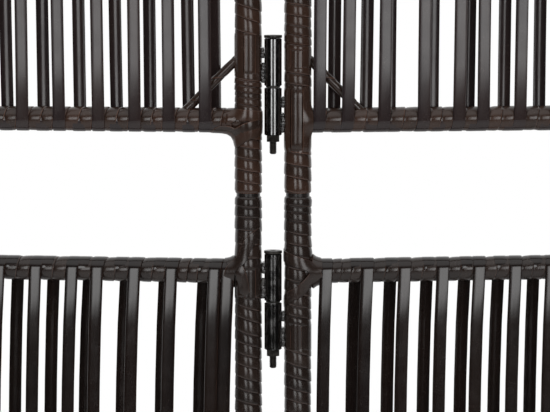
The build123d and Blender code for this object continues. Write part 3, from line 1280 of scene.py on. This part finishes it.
@dataclass
class Hinge:
    """Bolts, nuts and welds of the hinges between two panels."""
    name: str
    upper_panel: Panel
    lower_panel: Panel
    head_r: float = 7.2
    head_height: float = 2.3
    socket_r: float = 2.31
    socket_depth: float = 1.4
    thread_root_r: float = 2.45
    thread_r: float = 3.0
    thread_pitch: float = 1.0
    nut_r: float = 5.77
    nut_bore_r: float = 3.05
    head_round: float = 0.4
    nut_round: float = 0.7
    thread_lap: float = 0.5
    weld_arm: float = 12.2
    bead_pitch: float = 2.3
    bead_r: tuple[float, float] = (2.1, 2.8)
    bead_reach: tuple[float, float] = (1.6, 2.3)
    bead_ends: tuple[float, float] = (1.4, 0.8)
    remesh_size: float = 0.5

    def heights(self, part: str) -> np.ndarray:
        """Heights of a node's vertices, in millimetres.

        Args:
            part: The last part of the node's name.

        Returns:
            The heights.
        """
        return vertex_places(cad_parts[f"{self.name}_hinge_{part}"])[:, 2] / MM

    def junctions(self) -> list[float]:
        """Heights at which the barrels meet, in the middle of their washers.

        Returns:
            The heights, in millimetres.
        """
        levels = np.unique(np.round(self.heights("washers"), 1))
        groups = np.split(levels, np.nonzero(np.diff(levels) > BARREL_LENGTH)[0] + 1)
        return [float(group.mean()) for group in groups]

    def span_at(self, part: str, junction: float) -> tuple[float, float]:
        """Lowest and highest point of a part at one junction.

        Args:
            part: The last part of the node's name.
            junction: The junction's height.

        Returns:
            Both heights.
        """
        heights = self.heights(part)
        near = heights[np.abs(heights - junction) < BOLT_REACH]
        return float(near.min()), float(near.max())

    def axis(self) -> np.ndarray:
        """Place of the hinge's axis on the floor, in millimetres.

        Returns:
            The place, at height 0.
        """
        return centre_of(f"{self.name}_hinge_bolts") * np.array([1, 1, 0])

    def build_bolts(self) -> bpy.types.Object:
        """Make flat round heads with a hexagon socket, on threaded shanks.

        Returns:
            The bolts.
        """
        spans = [self.span_at("bolts", junction) for junction in self.junctions()]
        length = spans[0][1] - spans[0][0]
        head = add_cylinder("bolt_head", 48, self.head_r, -self.head_height, 0)
        socket = add_cylinder("socket", 6, self.socket_r, -self.socket_depth, 1)
        carve(head, socket, "DIFFERENCE")
        apply_modifier(head, "BEVEL", width=self.head_round, segments=3,
                       limit_method="ANGLE", angle_limit=SHARP_EDGE)
        edges = np.arange(self.head_height - self.thread_lap, length, self.thread_pitch)
        edges[-1] = length
        thread = Cover("bolt_thread", edges, self.thread_root_r, self.thread_r, 0.0,
                       segments=16, profile=THREAD_PROFILE, solid=True)
        shank = thread.build(lambda points: points * np.array([1, 1, -1]))
        model = join_pieces([head, shank], "bolt")
        shade(model)
        places = [self.axis() + np.array([0, 0, high]) for _, high in spans]
        return place_copies(model, places, f"{self.name}_hinge_threaded_bolts")

    def build_nuts(self) -> bpy.types.Object:
        """Make hexagon nuts with turned corners.

        Returns:
            The nuts.
        """
        spans = [self.span_at("nuts", junction) for junction in self.junctions()]
        height = spans[0][1] - spans[0][0]
        nut = add_cylinder("nut", 6, self.nut_r, -height, 0)
        turning = add_cylinder("turning", 64, self.nut_r - 0.01, 0.01 - height, -0.01)
        apply_modifier(turning, "BEVEL", width=self.nut_round, segments=2,
                       limit_method="ANGLE", angle_limit=SHARP_EDGE)
        carve(nut, turning, "INTERSECT")
        carve(nut, add_cylinder("bore", 32, self.nut_bore_r, -height - 1, 1),
              "DIFFERENCE")
        shade(nut, NUT_CREASE)
        places = [self.axis() + np.array([0, 0, high]) for _, high in spans]
        return place_copies(nut, places, f"{self.name}_hinge_hex_nuts")

    def build_welds(self, upper: bool) -> bpy.types.Object:
        """Uneven beads where the lugs meet the barrels and the post.

        Args:
            upper: Whether the upper barrels' welds are made, or the lower ones'.

        Returns:
            The beads of one panel.
        """
        panel = self.upper_panel if upper else self.lower_panel
        along = panel.span + self.weld_arm if upper else -self.weld_arm
        chance = random.Random(f"{self.name} {upper} welds")
        deselect_all()
        bpy.ops.mesh.primitive_ico_sphere_add(subdivisions=2, radius=1)
        drop = bpy.context.object
        ball = vertex_places(drop)
        drops = []
        for junction in self.junctions():
            top = junction - BARREL_GAP / 2
            if upper:
                top = junction + BARREL_GAP / 2 + BARREL_LENGTH
            for high, low in LUG_SPANS:
                for height in np.arange(top - low + self.bead_ends[0],
                                        top - high - self.bead_ends[1],
                                        self.bead_pitch):
                    for face in (-1, 1):
                        place = np.array([along + chance.uniform(-0.5, 0.5),
                                          face * chance.uniform(*self.bead_reach),
                                          height + chance.uniform(-0.4, 0.4)])
                        take_up(drop)
                        bpy.ops.object.duplicate()
                        bead = bpy.context.object
                        size = chance.uniform(*self.bead_r)
                        set_vertex_places(bead, ball * size + place)
                        drops.append(bead)
        bpy.data.objects.remove(drop)
        place_name = "upper" if upper else "lower"
        welds = join_pieces(drops, f"{panel.name}_{place_name}_welds")
        apply_modifier(welds, "REMESH", mode="VOXEL", voxel_size=self.remesh_size)
        apply_modifier(welds, "SMOOTH", factor=0.5, iterations=4)
        set_vertex_places(welds, panel.to_room(vertex_places(welds)))
        turn_outwards(welds)
        shade(welds, BEAD_CREASE)
        return welds


class Graph:
    """Node tree that is filled node by node."""

    def __init__(self, tree: bpy.types.NodeTree) -> None:
        """Start on an empty or a new tree."""
        self.tree = tree

    def add(self, kind: str, inputs: dict[str | int, object] | None = None,
            **settings: object) -> bpy.types.Node:
        """Add a node, set it and link it.

        Args:
            kind: The node's type.
            inputs: Values and sockets for the node's inputs.
            **settings: The node's own settings.

        Returns:
            The node.
        """
        node = self.tree.nodes.new(kind)
        for name, value in settings.items():
            setattr(node, name, value)
        for name, value in (inputs or {}).items():
            self.feed(node.inputs[name], value)
        return node

    def feed(self, socket: bpy.types.NodeSocket, value: object) -> None:
        """Link a socket, or set it.

        Args:
            socket: The input to feed.
            value: Another node's output, or a plain value.
        """
        if isinstance(value, bpy.types.NodeSocket):
            self.tree.links.new(value, socket)
        else:
            socket.default_value = value

    def math(self, operation: str, *values: object) -> bpy.types.NodeSocket:
        """Work out a number from others.

        Args:
            operation: The kind of sum.
            *values: Its numbers or sockets.

        Returns:
            The result.
        """
        node = self.add("ShaderNodeMath", dict(enumerate(values)), operation=operation)
        return node.outputs[0]

    def remap(self, value: object, low: float, high: float, to_low: float = 0.0,
              to_high: float = 1.0) -> bpy.types.NodeSocket:
        """Stretch a range of a number onto another, with soft ends.

        Args:
            value: The number.
            low: Start of its range.
            high: End of its range.
            to_low: What the start becomes.
            to_high: What the end becomes.

        Returns:
            The result.
        """
        node = self.add("ShaderNodeMapRange", {
            "Value": value, "From Min": low, "From Max": high, "To Min": to_low,
            "To Max": to_high}, interpolation_type="SMOOTHSTEP")
        return node.outputs["Result"]

    def window(self, value: object, edges: Window) -> bpy.types.NodeSocket:
        """Give 1 inside a range of a number and 0 outside it, with soft edges.

        Args:
            value: The number.
            edges: Where it starts to rise, is 1, starts to fall and is 0 again.

        Returns:
            The share.
        """
        start, full, fall, end = edges
        return self.math("MULTIPLY", self.remap(value, start, full),
                         self.remap(value, fall, end, 1.0, 0.0))

    def mix(self, share: object, first: object, second: object) -> bpy.types.NodeSocket:
        """Mix two colours.

        Args:
            share: Share of the second colour.
            first: The first colour.
            second: The second colour.

        Returns:
            The mixed colour.
        """
        node = self.add("ShaderNodeMix", data_type="RGBA")
        sockets = {"Factor_Float": share, "A_Color": first, "B_Color": second}
        for socket in node.inputs:
            if socket.identifier in sockets:
                self.feed(socket, sockets[socket.identifier])
        return next(out for out in node.outputs if out.identifier == "Result_Color")

    def noise(self, vector: object, scale: float, detail: float = 2.0,
              roughness: float = 0.5) -> bpy.types.NodeSocket:
        """Cloudy pattern with values from 0 to 1.

        Args:
            vector: The space that the pattern lies in.
            scale: How small the clouds are.
            detail: How many finer levels there are.
            roughness: How strong the finer levels are.

        Returns:
            The value.
        """
        node = self.add("ShaderNodeTexNoise", {
            "Vector": vector, "Scale": scale, "Detail": detail, "Roughness": roughness})
        return node.outputs["Fac"]

    def stretch(self, vector: object, scale: tuple[float, float, float],
                turn: tuple[float, float, float] = (0, 0, 0)) -> bpy.types.NodeSocket:
        """Scale and turn the space that a pattern lies in.

        Args:
            vector: The space.
            scale: The scale along each axis.
            turn: The turn about each axis.

        Returns:
            The new space.
        """
        node = self.add("ShaderNodeMapping", {"Vector": vector, "Scale": scale,
                                              "Rotation": turn})
        return node.outputs["Vector"]

    def group(self, tree: bpy.types.NodeTree,
              inputs: dict[str | int, object]) -> bpy.types.Node:
        """Place a shared group.

        Args:
            tree: The group.
            inputs: Values and sockets for its inputs.

        Returns:
            The group's node.
        """
        return self.add("ShaderNodeGroup", inputs, node_tree=tree)


def new_group(name: str, inputs: dict[str, str],
              outputs: dict[str, str]) -> tuple[Graph, bpy.types.Node, bpy.types.Node]:
    """Start a shared node group.

    Args:
        name: The group's name.
        inputs: The kind of each input socket.
        outputs: The kind of each output socket.

    Returns:
        The group's graph, its input node and its output node.
    """
    tree = bpy.data.node_groups.new(name, "ShaderNodeTree")
    for direction, sockets in (("INPUT", inputs), ("OUTPUT", outputs)):
        for socket, kind in sockets.items():
            tree.interface.new_socket(socket, in_out=direction,
                                      socket_type=f"NodeSocket{kind}")
    graph = Graph(tree)
    return graph, graph.add("NodeGroupInput"), graph.add("NodeGroupOutput")


def roll_tone_group() -> bpy.types.NodeTree:
    """Slow change of tone from one length of the strip to the next.

    Returns:
        The group.
    """
    graph, given, result = new_group("roll_tone", {"Roll": "Vector", "Place": "Vector"},
                                     {"Tone": "Float", "Cloud": "Float"})
    lengths = graph.stretch(given.outputs["Roll"], (6.0, 0.3, 1.0))
    tone = graph.noise(lengths, 1.0, 2.0)
    cloud = graph.noise(given.outputs["Place"], 60.0, 3.0)
    graph.tree.links.new(graph.remap(tone, 0.3, 0.7), result.inputs["Tone"])
    graph.tree.links.new(graph.remap(cloud, 0.35, 0.7), result.inputs["Cloud"])
    return graph.tree


def drawn_lines_group() -> bpy.types.NodeTree:
    """Fine lines that run along the strip, from its drawing.

    Returns:
        The group.
    """
    graph, given, result = new_group("drawn_lines", {"Roll": "Vector"},
                                     {"Height": "Float"})
    roll = given.outputs["Roll"]
    fine = graph.noise(graph.stretch(roll, (22.0, 26.0, 1.0)), 1.0, 2.0)
    broad = graph.noise(graph.stretch(roll, (9.0, 5.0, 1.0)), 1.0, 1.0)
    height = graph.math("ADD", graph.math("MULTIPLY", fine, 0.45), broad)
    graph.tree.links.new(height, result.inputs["Height"])
    return graph.tree


def speckle_group() -> bpy.types.NodeTree:
    """Small pale grains and scuffs, partly painted glints where they catch the light.

    Returns:
        The group.
    """
    graph, given, result = new_group("speckle", {"Place": "Vector", "Amount": "Float"},
                                     {"Mask": "Float"})
    grain = graph.noise(given.outputs["Place"], 1100.0, 2.0, 0.6)
    patches = graph.noise(given.outputs["Place"], 90.0, 2.0)
    bright = graph.remap(grain, 0.56, 0.72)
    where = graph.remap(patches, 0.4, 0.65)
    mask = graph.math("MULTIPLY", graph.math("MULTIPLY", bright, where),
                      given.outputs["Amount"])
    graph.tree.links.new(mask, result.inputs["Mask"])
    return graph.tree


def strip_edge_group() -> bpy.types.NodeTree:
    """Strip's reddish far edge with a painted highlight on it, and painted shade beside
    it.

    Returns:
        The group.
    """
    graph, given, result = new_group("strip_edge", {"Roll": "Vector"},
                                     {"Rim": "Float", "Shade": "Float"})
    parts = graph.add("ShaderNodeSeparateXYZ", {"Vector": given.outputs["Roll"]})
    across = parts.outputs["Y"]
    # Rim: the strip's own reddish edge tint, partly a painted highlight on the proud
    # edge
    rim = graph.math("MULTIPLY", graph.remap(across, 0.90, 0.95),
                     graph.remap(across, 0.97, 1.0, 1.0, 0.0))
    # Breaks the edge tint and its painted highlight up along the strip
    rim_breakup = graph.noise(graph.stretch(given.outputs["Roll"], (60.0, 1.0, 1.0)), 1.0, 3.0)
    rim = graph.math("MULTIPLY", rim, graph.remap(rim_breakup, 0.35, 0.6, 0.25, 1.0))
    # Painted shade along the near edge, where the turn tucks under
    shade = graph.remap(across, 0.0, 0.1, 1.0, 0.0)
    graph.tree.links.new(rim, result.inputs["Rim"])
    graph.tree.links.new(shade, result.inputs["Shade"])
    return graph.tree


def pitted_group() -> bpy.types.NodeTree:
    """Uneven surface of enamel and weld.

    Returns:
        The group.
    """
    graph, given, result = new_group("pitted", {"Place": "Vector", "Scale": "Float"},
                                     {"Height": "Float", "Patches": "Float"})
    scaled = graph.add("ShaderNodeVectorMath", {0: given.outputs["Place"],
                                                "Scale": given.outputs["Scale"]},
                       operation="SCALE").outputs[0]
    height = graph.noise(scaled, 1.0, 3.0, 0.55)
    patches = graph.noise(scaled, 0.17, 2.0)
    graph.tree.links.new(height, result.inputs["Height"])
    graph.tree.links.new(graph.remap(patches, 0.4, 0.65), result.inputs["Patches"])
    return graph.tree


@dataclass
class SharedEffects:
    """Node groups that the finishes use."""
    tone: bpy.types.NodeTree = field(default_factory=roll_tone_group)
    lines: bpy.types.NodeTree = field(default_factory=drawn_lines_group)
    speckle: bpy.types.NodeTree = field(default_factory=speckle_group)
    edge: bpy.types.NodeTree = field(default_factory=strip_edge_group)
    pitted: bpy.types.NodeTree = field(default_factory=pitted_group)


def new_material(name: str) -> tuple[bpy.types.Material, Graph, bpy.types.Node]:
    """Start a material with one surface shader.

    Args:
        name: The material's name.

    Returns:
        The material, its graph and its shader.
    """
    material = bpy.data.materials.new(name)
    material.use_nodes = True
    tree = material.node_tree
    shader = next(node for node in tree.nodes if node.type == "BSDF_PRINCIPLED")
    return material, Graph(tree), shader


@dataclass(frozen=True)
class StripFinish:
    """Flat plastic strip."""
    name: str
    dark: Colour
    warm: Colour
    # Edge colour: the strip's reddish tint, partly a painted highlight
    rim: Colour
    speckle: float
    roughness: float
    rough_spread: float
    line_height: float

    def material(self, effects: SharedEffects) -> bpy.types.Material:
        """Make the material.

        Args:
            effects: The shared node groups.

        Returns:
            The material.
        """
        material, graph, shader = new_material(self.name)
        place = graph.add("ShaderNodeTexCoord").outputs["Object"]
        roll = graph.add("ShaderNodeUVMap").outputs["UV"]
        tone = graph.group(effects.tone, {"Roll": roll, "Place": place})
        edge = graph.group(effects.edge, {"Roll": roll})
        grains = graph.group(effects.speckle, {"Place": place, "Amount": self.speckle})
        lines = graph.group(effects.lines, {"Roll": roll})
        colour = graph.mix(tone.outputs["Tone"], self.dark, self.warm)
        # Reddish edge tint with a painted highlight along the proud far edge
        colour = graph.mix(edge.outputs["Rim"], colour, self.rim)
        # Pale grains and scuffs, partly painted glints
        colour = graph.mix(grains.outputs["Mask"], colour, GRAIN_AND_GLINT_COLOUR)
        # Painted shade along the tucked near edge
        tucked = graph.math("MULTIPLY", edge.outputs["Shade"], TUCKED_PAINTED_SHADE_SHARE)
        colour = graph.mix(tucked, colour, TUCKED_PAINTED_SHADE_COLOUR)
        graph.feed(shader.inputs["Base Color"], colour)
        rough = graph.math("MULTIPLY_ADD", tone.outputs["Cloud"], self.rough_spread,
                           self.roughness)
        graph.feed(shader.inputs["Roughness"], rough)
        bump = graph.add("ShaderNodeBump", {"Height": lines.outputs["Height"],
                                            "Strength": 1.0,
                                            "Distance": self.line_height * MM})
        graph.feed(shader.inputs["Normal"], bump.outputs["Normal"])
        shader.inputs["IOR"].default_value = STRIP_IOR
        return material


@dataclass(frozen=True)
class EnamelFinish:
    """Enamel on steel, or bare dark steel."""
    name: str
    colour: Colour
    bare: Colour
    roughness: float
    grain: float
    pit_depth: float
    metallic: float = 0.0
    coat: float = 0.0
    ior: float = 1.5

    def material(self, effects: SharedEffects) -> bpy.types.Material:
        """Make the material.

        Args:
            effects: The shared node groups.

        Returns:
            The material.
        """
        material, graph, shader = new_material(self.name)
        place = graph.add("ShaderNodeTexCoord").outputs["Object"]
        pits = graph.group(effects.pitted, {"Place": place, "Scale": self.grain})
        colour = graph.mix(pits.outputs["Patches"], self.colour, self.bare)
        graph.feed(shader.inputs["Base Color"], colour)
        rough = graph.math("MULTIPLY_ADD", pits.outputs["Patches"], PATCH_ROUGHNESS,
                           self.roughness)
        graph.feed(shader.inputs["Roughness"], rough)
        bump = graph.add("ShaderNodeBump", {"Height": pits.outputs["Height"],
                                            "Strength": 1.0,
                                            "Distance": self.pit_depth * MM})
        graph.feed(shader.inputs["Normal"], bump.outputs["Normal"])
        shader.inputs["Metallic"].default_value = self.metallic
        shader.inputs["Coat Weight"].default_value = self.coat
        shader.inputs["Coat Roughness"].default_value = COAT_ROUGHNESS
        shader.inputs["IOR"].default_value = self.ior
        return material


# Painted light and shade: one wound strip in two copies, the upper unit's painted
# lighter and the lower unit's painted darker
WOUND_STRIPS_PAINTED_LIT_AND_SHADED = {
    Tier.UPPER: StripFinish("wound_strip_upper", (0.022, 0.013, 0.0095, 1),
                            (0.044, 0.022, 0.0145, 1), (0.09, 0.046, 0.032, 1), 0.35,
                            0.19, 0.06, 0.035),
    Tier.LOWER: StripFinish("wound_strip_lower", (0.014, 0.0095, 0.0078, 1),
                            (0.025, 0.0155, 0.012, 1), (0.06, 0.034, 0.026, 1), 0.3,
                            0.19, 0.06, 0.035),
}
# Painted light and shade: one run strip in two copies, the upper unit's painted lighter
# and the lower unit's painted darker
RUN_STRIPS_PAINTED_LIT_AND_SHADED = {
    Tier.UPPER: StripFinish("run_strip_upper", (0.018, 0.0125, 0.0132, 1),
                            (0.026, 0.0165, 0.0155, 1), (0.035, 0.021, 0.018, 1), 0.2,
                            0.15, 0.04, 0.03),
    Tier.LOWER: StripFinish("run_strip_lower", (0.0075, 0.0051, 0.0046, 1),
                            (0.013, 0.0078, 0.0062, 1), (0.024, 0.0125, 0.009, 1), 0.15,
                            0.11, 0.03, 0.03),
}
HINGE_ENAMEL = EnamelFinish("hinge_enamel", (0.0018, 0.0014, 0.0012, 1),
                            (0.005, 0.004, 0.0035, 1), 0.08, 900.0, 0.03, coat=1.0,
                            ior=2.1)
WELD_ENAMEL = EnamelFinish("weld_enamel", (0.005, 0.004, 0.0035, 1),
                           (0.012, 0.009, 0.007, 1), 0.16, 500.0, 0.04, coat=0.5,
                           ior=1.8)
FASTENER_STEEL = EnamelFinish("fastener_steel", (0.02, 0.018, 0.016, 1),
                              (0.05, 0.045, 0.04, 1), 0.3, 1500.0, 0.02, metallic=0.5)
TUBE_ENAMEL = EnamelFinish("tube_enamel", (0.012, 0.009, 0.008, 1),
                           (0.02, 0.015, 0.013, 1), 0.3, 500.0, 0.02)
PLUG_PLASTIC = EnamelFinish("plug_plastic", (0.010, 0.010, 0.010, 1),
                            (0.018, 0.017, 0.016, 1), 0.45, 1200.0, 0.03)


def finish_piece(piece: bpy.types.Object, material: bpy.types.Material, body: str,
                 slot: str, *nodes: str) -> None:
    """Dress a piece and hang it on its body.

    Args:
        piece: The finished shape.
        material: Its finish.
        body: The body that it rides on.
        slot: A slot's name; not used.
        *nodes: The nodes that it stands for.
    """
    piece.data.materials.clear()
    piece.data.materials.append(material)
    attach(piece, body)
    if nodes:
        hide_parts(*nodes)
    LOG.info("%s: %d faces", piece.name, len(piece.data.polygons))


def centre_of(name: str) -> np.ndarray:
    """Middle of a node's box, in millimetres.

    Args:
        name: The node's name.

    Returns:
        The middle.
    """
    low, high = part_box(name)
    return np.array([(low[axis] + high[axis]) / 2 for axis in range(3)]) / MM


@dataclass
class Studio:
    """Camera, floor and light."""
    aim: tuple[float, float, float] = (-0.2054, -0.03, 0.844)
    elevation: float = math.radians(5.5)
    distance: float = 2.5
    view_width: float = 0.44
    box_distance: float = 1.5
    box_turns: tuple[float, float] = (math.radians(-20.5), math.radians(21.5))
    box_size: tuple[float, float] = (0.66, 0.62)
    box_foot: float = 0.72
    box_radiance: float = 3.0
    overhead_radiance: float = 1.2
    overhead_place: Point = (0.0, -0.5, 3.2)
    overhead_target: Point = (0.0, 0.0, 0.9)
    overhead_size: tuple[float, float] = (3.0, 2.0)
    floor_radius: float = 3.0
    floor_fade: tuple[float, float] = (1.2, 2.6)
    floor_tones: tuple[float, float] = (0.80, 0.84)
    floor_grain: float = 40.0
    floor_roughness: float = 0.8
    ambient: float = 0.5
    mirrored_box: float = 3.8
    mirrored_top: float = 0.9
    mirrored_dark: float = 0.012
    mirrored_below: float = 0.004
    mirrored_front: tuple[float, float] = (-0.6, -0.5)
    mirrored_above: tuple[float, float] = (0.4, 0.75)
    mirrored_behind: tuple[float, float] = (0.1, 0.6)
    mirrored_foot: tuple[float, float] = (-0.103, -0.07)
    mirrored_heights: Window = (-0.5, -0.4, 0.26, 0.34)
    mirrored_slopes: tuple[Window, Window] = ((-0.56, -0.48, -0.21, -0.17),
                                              (0.20, 0.25, 0.60, 0.70))

    def build(self) -> None:
        """Set everything up."""
        self.add_camera()
        self.add_floor()
        self.add_lamps()
        self.set_world()
        bpy.context.scene.view_settings.view_transform = "Standard"

    def add_camera(self) -> None:
        """Look at the hinge from a little above."""
        target = np.array(self.aim)
        away = np.array([0.0, -math.cos(self.elevation), math.sin(self.elevation)])
        deselect_all()
        bpy.ops.object.camera_add(location=target + away * self.distance,
                                  rotation=(math.pi / 2 - self.elevation, 0, 0))
        camera = bpy.context.object
        camera.name = "camera"
        camera.data.sensor_width = 36.0
        camera.data.lens = 36.0 * self.distance / self.view_width
        camera.data.clip_end = 100.0
        bpy.context.scene.camera = camera

    def add_lamp(self, name: str, place: np.ndarray, target: np.ndarray,
                 size: tuple[float, float], radiance: float) -> None:
        """Hang one flat soft lamp.

        Args:
            name: The lamp's name.
            place: Its middle, in metres.
            target: The point that it faces.
            size: Its width and height, in metres.
            radiance: How bright its face is, with 1 as white.
        """
        deselect_all()
        bpy.ops.object.light_add(type="AREA", location=place)
        lamp = bpy.context.object
        lamp.name = name
        lamp.rotation_euler = facing_turn(target - place)
        lamp.data.shape = "RECTANGLE"
        lamp.data.size, lamp.data.size_y = size
        lamp.data.energy = radiance * math.pi * size[0] * size[1]
        lamp.visible_camera = False
        lamp.visible_glossy = False

    def add_lamps(self) -> None:
        """Hang the two boxes in front and the large one overhead."""
        centre = np.array([self.aim[0], self.aim[1], 0.0])
        height = self.box_foot + self.box_size[1] / 2
        for name, turn in zip(("left_lamp", "right_lamp"), self.box_turns):
            away = np.array([math.sin(turn), -math.cos(turn), 0.0]) * self.box_distance
            place = centre + away + np.array([0, 0, height])
            self.add_lamp(name, place, centre + np.array([0, 0, height]), self.box_size,
                          self.box_radiance)
        self.add_lamp("overhead_lamp", np.array(self.overhead_place),
                      np.array(self.overhead_target), self.overhead_size,
                      self.overhead_radiance)

    def add_floor(self) -> None:
        """Lay a round pale floor that fades to white at its rim."""
        deselect_all()
        bpy.ops.mesh.primitive_circle_add(vertices=96, radius=self.floor_radius,
                                          fill_type="NGON")
        floor = bpy.context.object
        floor.name = "floor"
        material, graph, shader = new_material("floor")
        place = graph.add("ShaderNodeTexCoord").outputs["Object"]
        distance = graph.add("ShaderNodeVectorMath", {0: place},
                             operation="LENGTH").outputs["Value"]
        mottle = graph.noise(place, self.floor_grain)
        shader.inputs["Roughness"].default_value = self.floor_roughness
        tones = [(tone, tone, tone, 1) for tone in self.floor_tones]
        colour = graph.mix(mottle, *tones)
        graph.feed(shader.inputs["Base Color"], colour)
        white = graph.add("ShaderNodeEmission", {"Color": (1, 1, 1, 1),
                                                 "Strength": 1.0})
        rays = graph.add("ShaderNodeLightPath")
        fade = graph.math("MULTIPLY", graph.remap(distance, *self.floor_fade),
                          rays.outputs["Is Camera Ray"])
        mixed = graph.add("ShaderNodeMixShader", {0: fade, 1: shader.outputs[0],
                                                  2: white.outputs[0]})
        output = next(n for n in graph.tree.nodes if n.type == "OUTPUT_MATERIAL")
        graph.tree.links.new(mixed.outputs[0], output.inputs["Surface"])
        floor.data.materials.append(material)

    def mirrored_light(self, graph: Graph,
                       way: bpy.types.NodeSocket) -> bpy.types.NodeSocket:
        """Light that glossy surfaces see: two boxes in front, white behind and above.

        Args:
            graph: The world's graph.
            way: The direction that is looked in.

        Returns:
            The strength in that direction.
        """
        parts = graph.add("ShaderNodeSeparateXYZ", {"Vector": way})
        across, deep, up = (parts.outputs[axis] for axis in "XYZ")
        in_front = graph.remap(deep, *self.mirrored_front, 1.0, 0.0)
        ahead = graph.math("MAXIMUM", graph.math("MULTIPLY", deep, -1.0), 0.1)
        slope = graph.math("DIVIDE", across, ahead)
        left, right = (graph.window(slope, edges) for edges in self.mirrored_slopes)
        wide = graph.math("ADD", left, right)
        lit = graph.remap(up, *self.mirrored_foot, self.mirrored_below, 1.0)
        tall = graph.math("MULTIPLY", lit, graph.window(up, self.mirrored_heights))
        boxes = graph.math("MULTIPLY", graph.math("MULTIPLY", wide, tall),
                           graph.math("MULTIPLY", in_front, self.mirrored_box))
        above = graph.remap(up, *self.mirrored_above, 0.0, self.mirrored_top)
        behind = graph.remap(deep, *self.mirrored_behind)
        white = graph.math("MAXIMUM", above, behind)
        brightest = graph.math("MAXIMUM", boxes, white)
        return graph.math("ADD", brightest, self.mirrored_dark)

    def set_world(self) -> None:
        """White behind the screen, plain soft light all round."""
        world = bpy.data.worlds.new("studio")
        bpy.context.scene.world = world
        world.use_nodes = True
        world.cycles.sampling_method = "NONE"
        graph = Graph(world.node_tree)
        sky = next(n for n in graph.tree.nodes if n.type == "BACKGROUND")
        rays = graph.add("ShaderNodeLightPath")
        way = graph.add("ShaderNodeTexCoord").outputs["Generated"]
        mirrored = self.mirrored_light(graph, way)
        shown = graph.math("MAXIMUM", rays.outputs["Is Glossy Ray"],
                           rays.outputs["Is Transmission Ray"])
        level = graph.add("ShaderNodeMix", {0: shown, 2: self.ambient, 3: mirrored})
        final = graph.add("ShaderNodeMix", {0: rays.outputs["Is Camera Ray"],
                                            2: level.outputs[0], 3: 1.0})
        sky.inputs["Color"].default_value = (1, 1, 1, 1)
        graph.tree.links.new(final.outputs[0], sky.inputs["Strength"])


def facing_turn(way: np.ndarray) -> tuple[float, float, float]:
    """Turn that points a lamp's face along a direction."""
    flat = math.hypot(way[0], way[1])
    return (math.atan2(flat, -way[2]), 0.0, math.atan2(-way[0], way[1]))


class Finishes:
    """Every material of the screen, made once and shared."""

    def __init__(self) -> None:
        """Make the shared effects, then the materials."""
        effects = SharedEffects()
        # Each tier gets its own lighter or darker painted copy of the wound and the run
        # strip
        self.wound = {tier: WOUND_STRIPS_PAINTED_LIT_AND_SHADED[tier].material(effects) for tier in Tier}
        self.runs = {tier: RUN_STRIPS_PAINTED_LIT_AND_SHADED[tier].material(effects) for tier in Tier}
        self.enamel = HINGE_ENAMEL.material(effects)
        self.weld = WELD_ENAMEL.material(effects)
        self.steel = FASTENER_STEEL.material(effects)
        self.tube = TUBE_ENAMEL.material(effects)
        self.plastic = PLUG_PLASTIC.material(effects)

    def of_node(self, name: str) -> bpy.types.Material:
        """Material of a node that stays in sight.

        Args:
            name: The node's name.

        Returns:
            The material.
        """
        if "barrels" in name:
            return self.enamel
        if "hinge" in name:
            return self.steel
        return self.plastic if "plugs" in name else self.tube


def dress_unit(unit: Unit, finishes: Finishes) -> None:
    """Fill a unit with its runs and wind its posts, rails and braces.

    Args:
        unit: The unit.
        finishes: The materials.
    """
    panel, tier = unit.panel, unit.tier
    infill = Infill(unit, UNIT_BENDS.get(unit.name, 0.0))
    runs = infill.read_runs()
    # The tier picks the lighter or darker painted copy of each strip finish
    finish_piece(infill.build(), finishes.runs[tier], panel.body, "infill_strip",
                 panel.node(tier, "infill"))
    winding = Winding(unit)
    makers = [partial(winding.build_post, side) for side in ("left", "right")]
    makers += [partial(winding.build_rail, rail, runs) for rail in ("bottom", "top")]
    makers += [winding.build_braces, JointStraps(unit).build]
    for make in makers:
        finish_piece(make(), finishes.wound[tier], panel.body, "wrapped_strip",
                     panel.node(tier, "wraps"))


def dress_hinge(hinge: Hinge, finishes: Finishes) -> None:
    """Give two panels their bolts, nuts and welds.

    Args:
        hinge: The hinge between the panels.
        finishes: The materials.
    """
    for make, part in ((hinge.build_bolts, "bolts"), (hinge.build_nuts, "nuts")):
        finish_piece(make(), finishes.steel, FASTENER_BODY, "black_fastener",
                     f"{hinge.name}_hinge_{part}")
    for upper, panel in ((True, hinge.upper_panel), (False, hinge.lower_panel)):
        finish_piece(hinge.build_welds(upper), finishes.weld, panel.body,
                     "hinge_enamel")


def main() -> None:
    """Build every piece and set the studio."""
    logging.basicConfig(level=logging.INFO)
    finishes = Finishes()
    for name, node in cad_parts.items():
        for slot in node.material_slots:
            slot.material = finishes.of_node(name)
    left, middle, right = panels = [Panel(name) for name in ("left", "middle", "right")]
    for panel in panels:
        for tier in Tier:
            dress_unit(Unit(panel, tier), finishes)
    for hinge in (Hinge("left", left, middle), Hinge("right", middle, right)):
        dress_hinge(hinge, finishes)
    Studio().build()


if __name__ == "__main__":
    main()
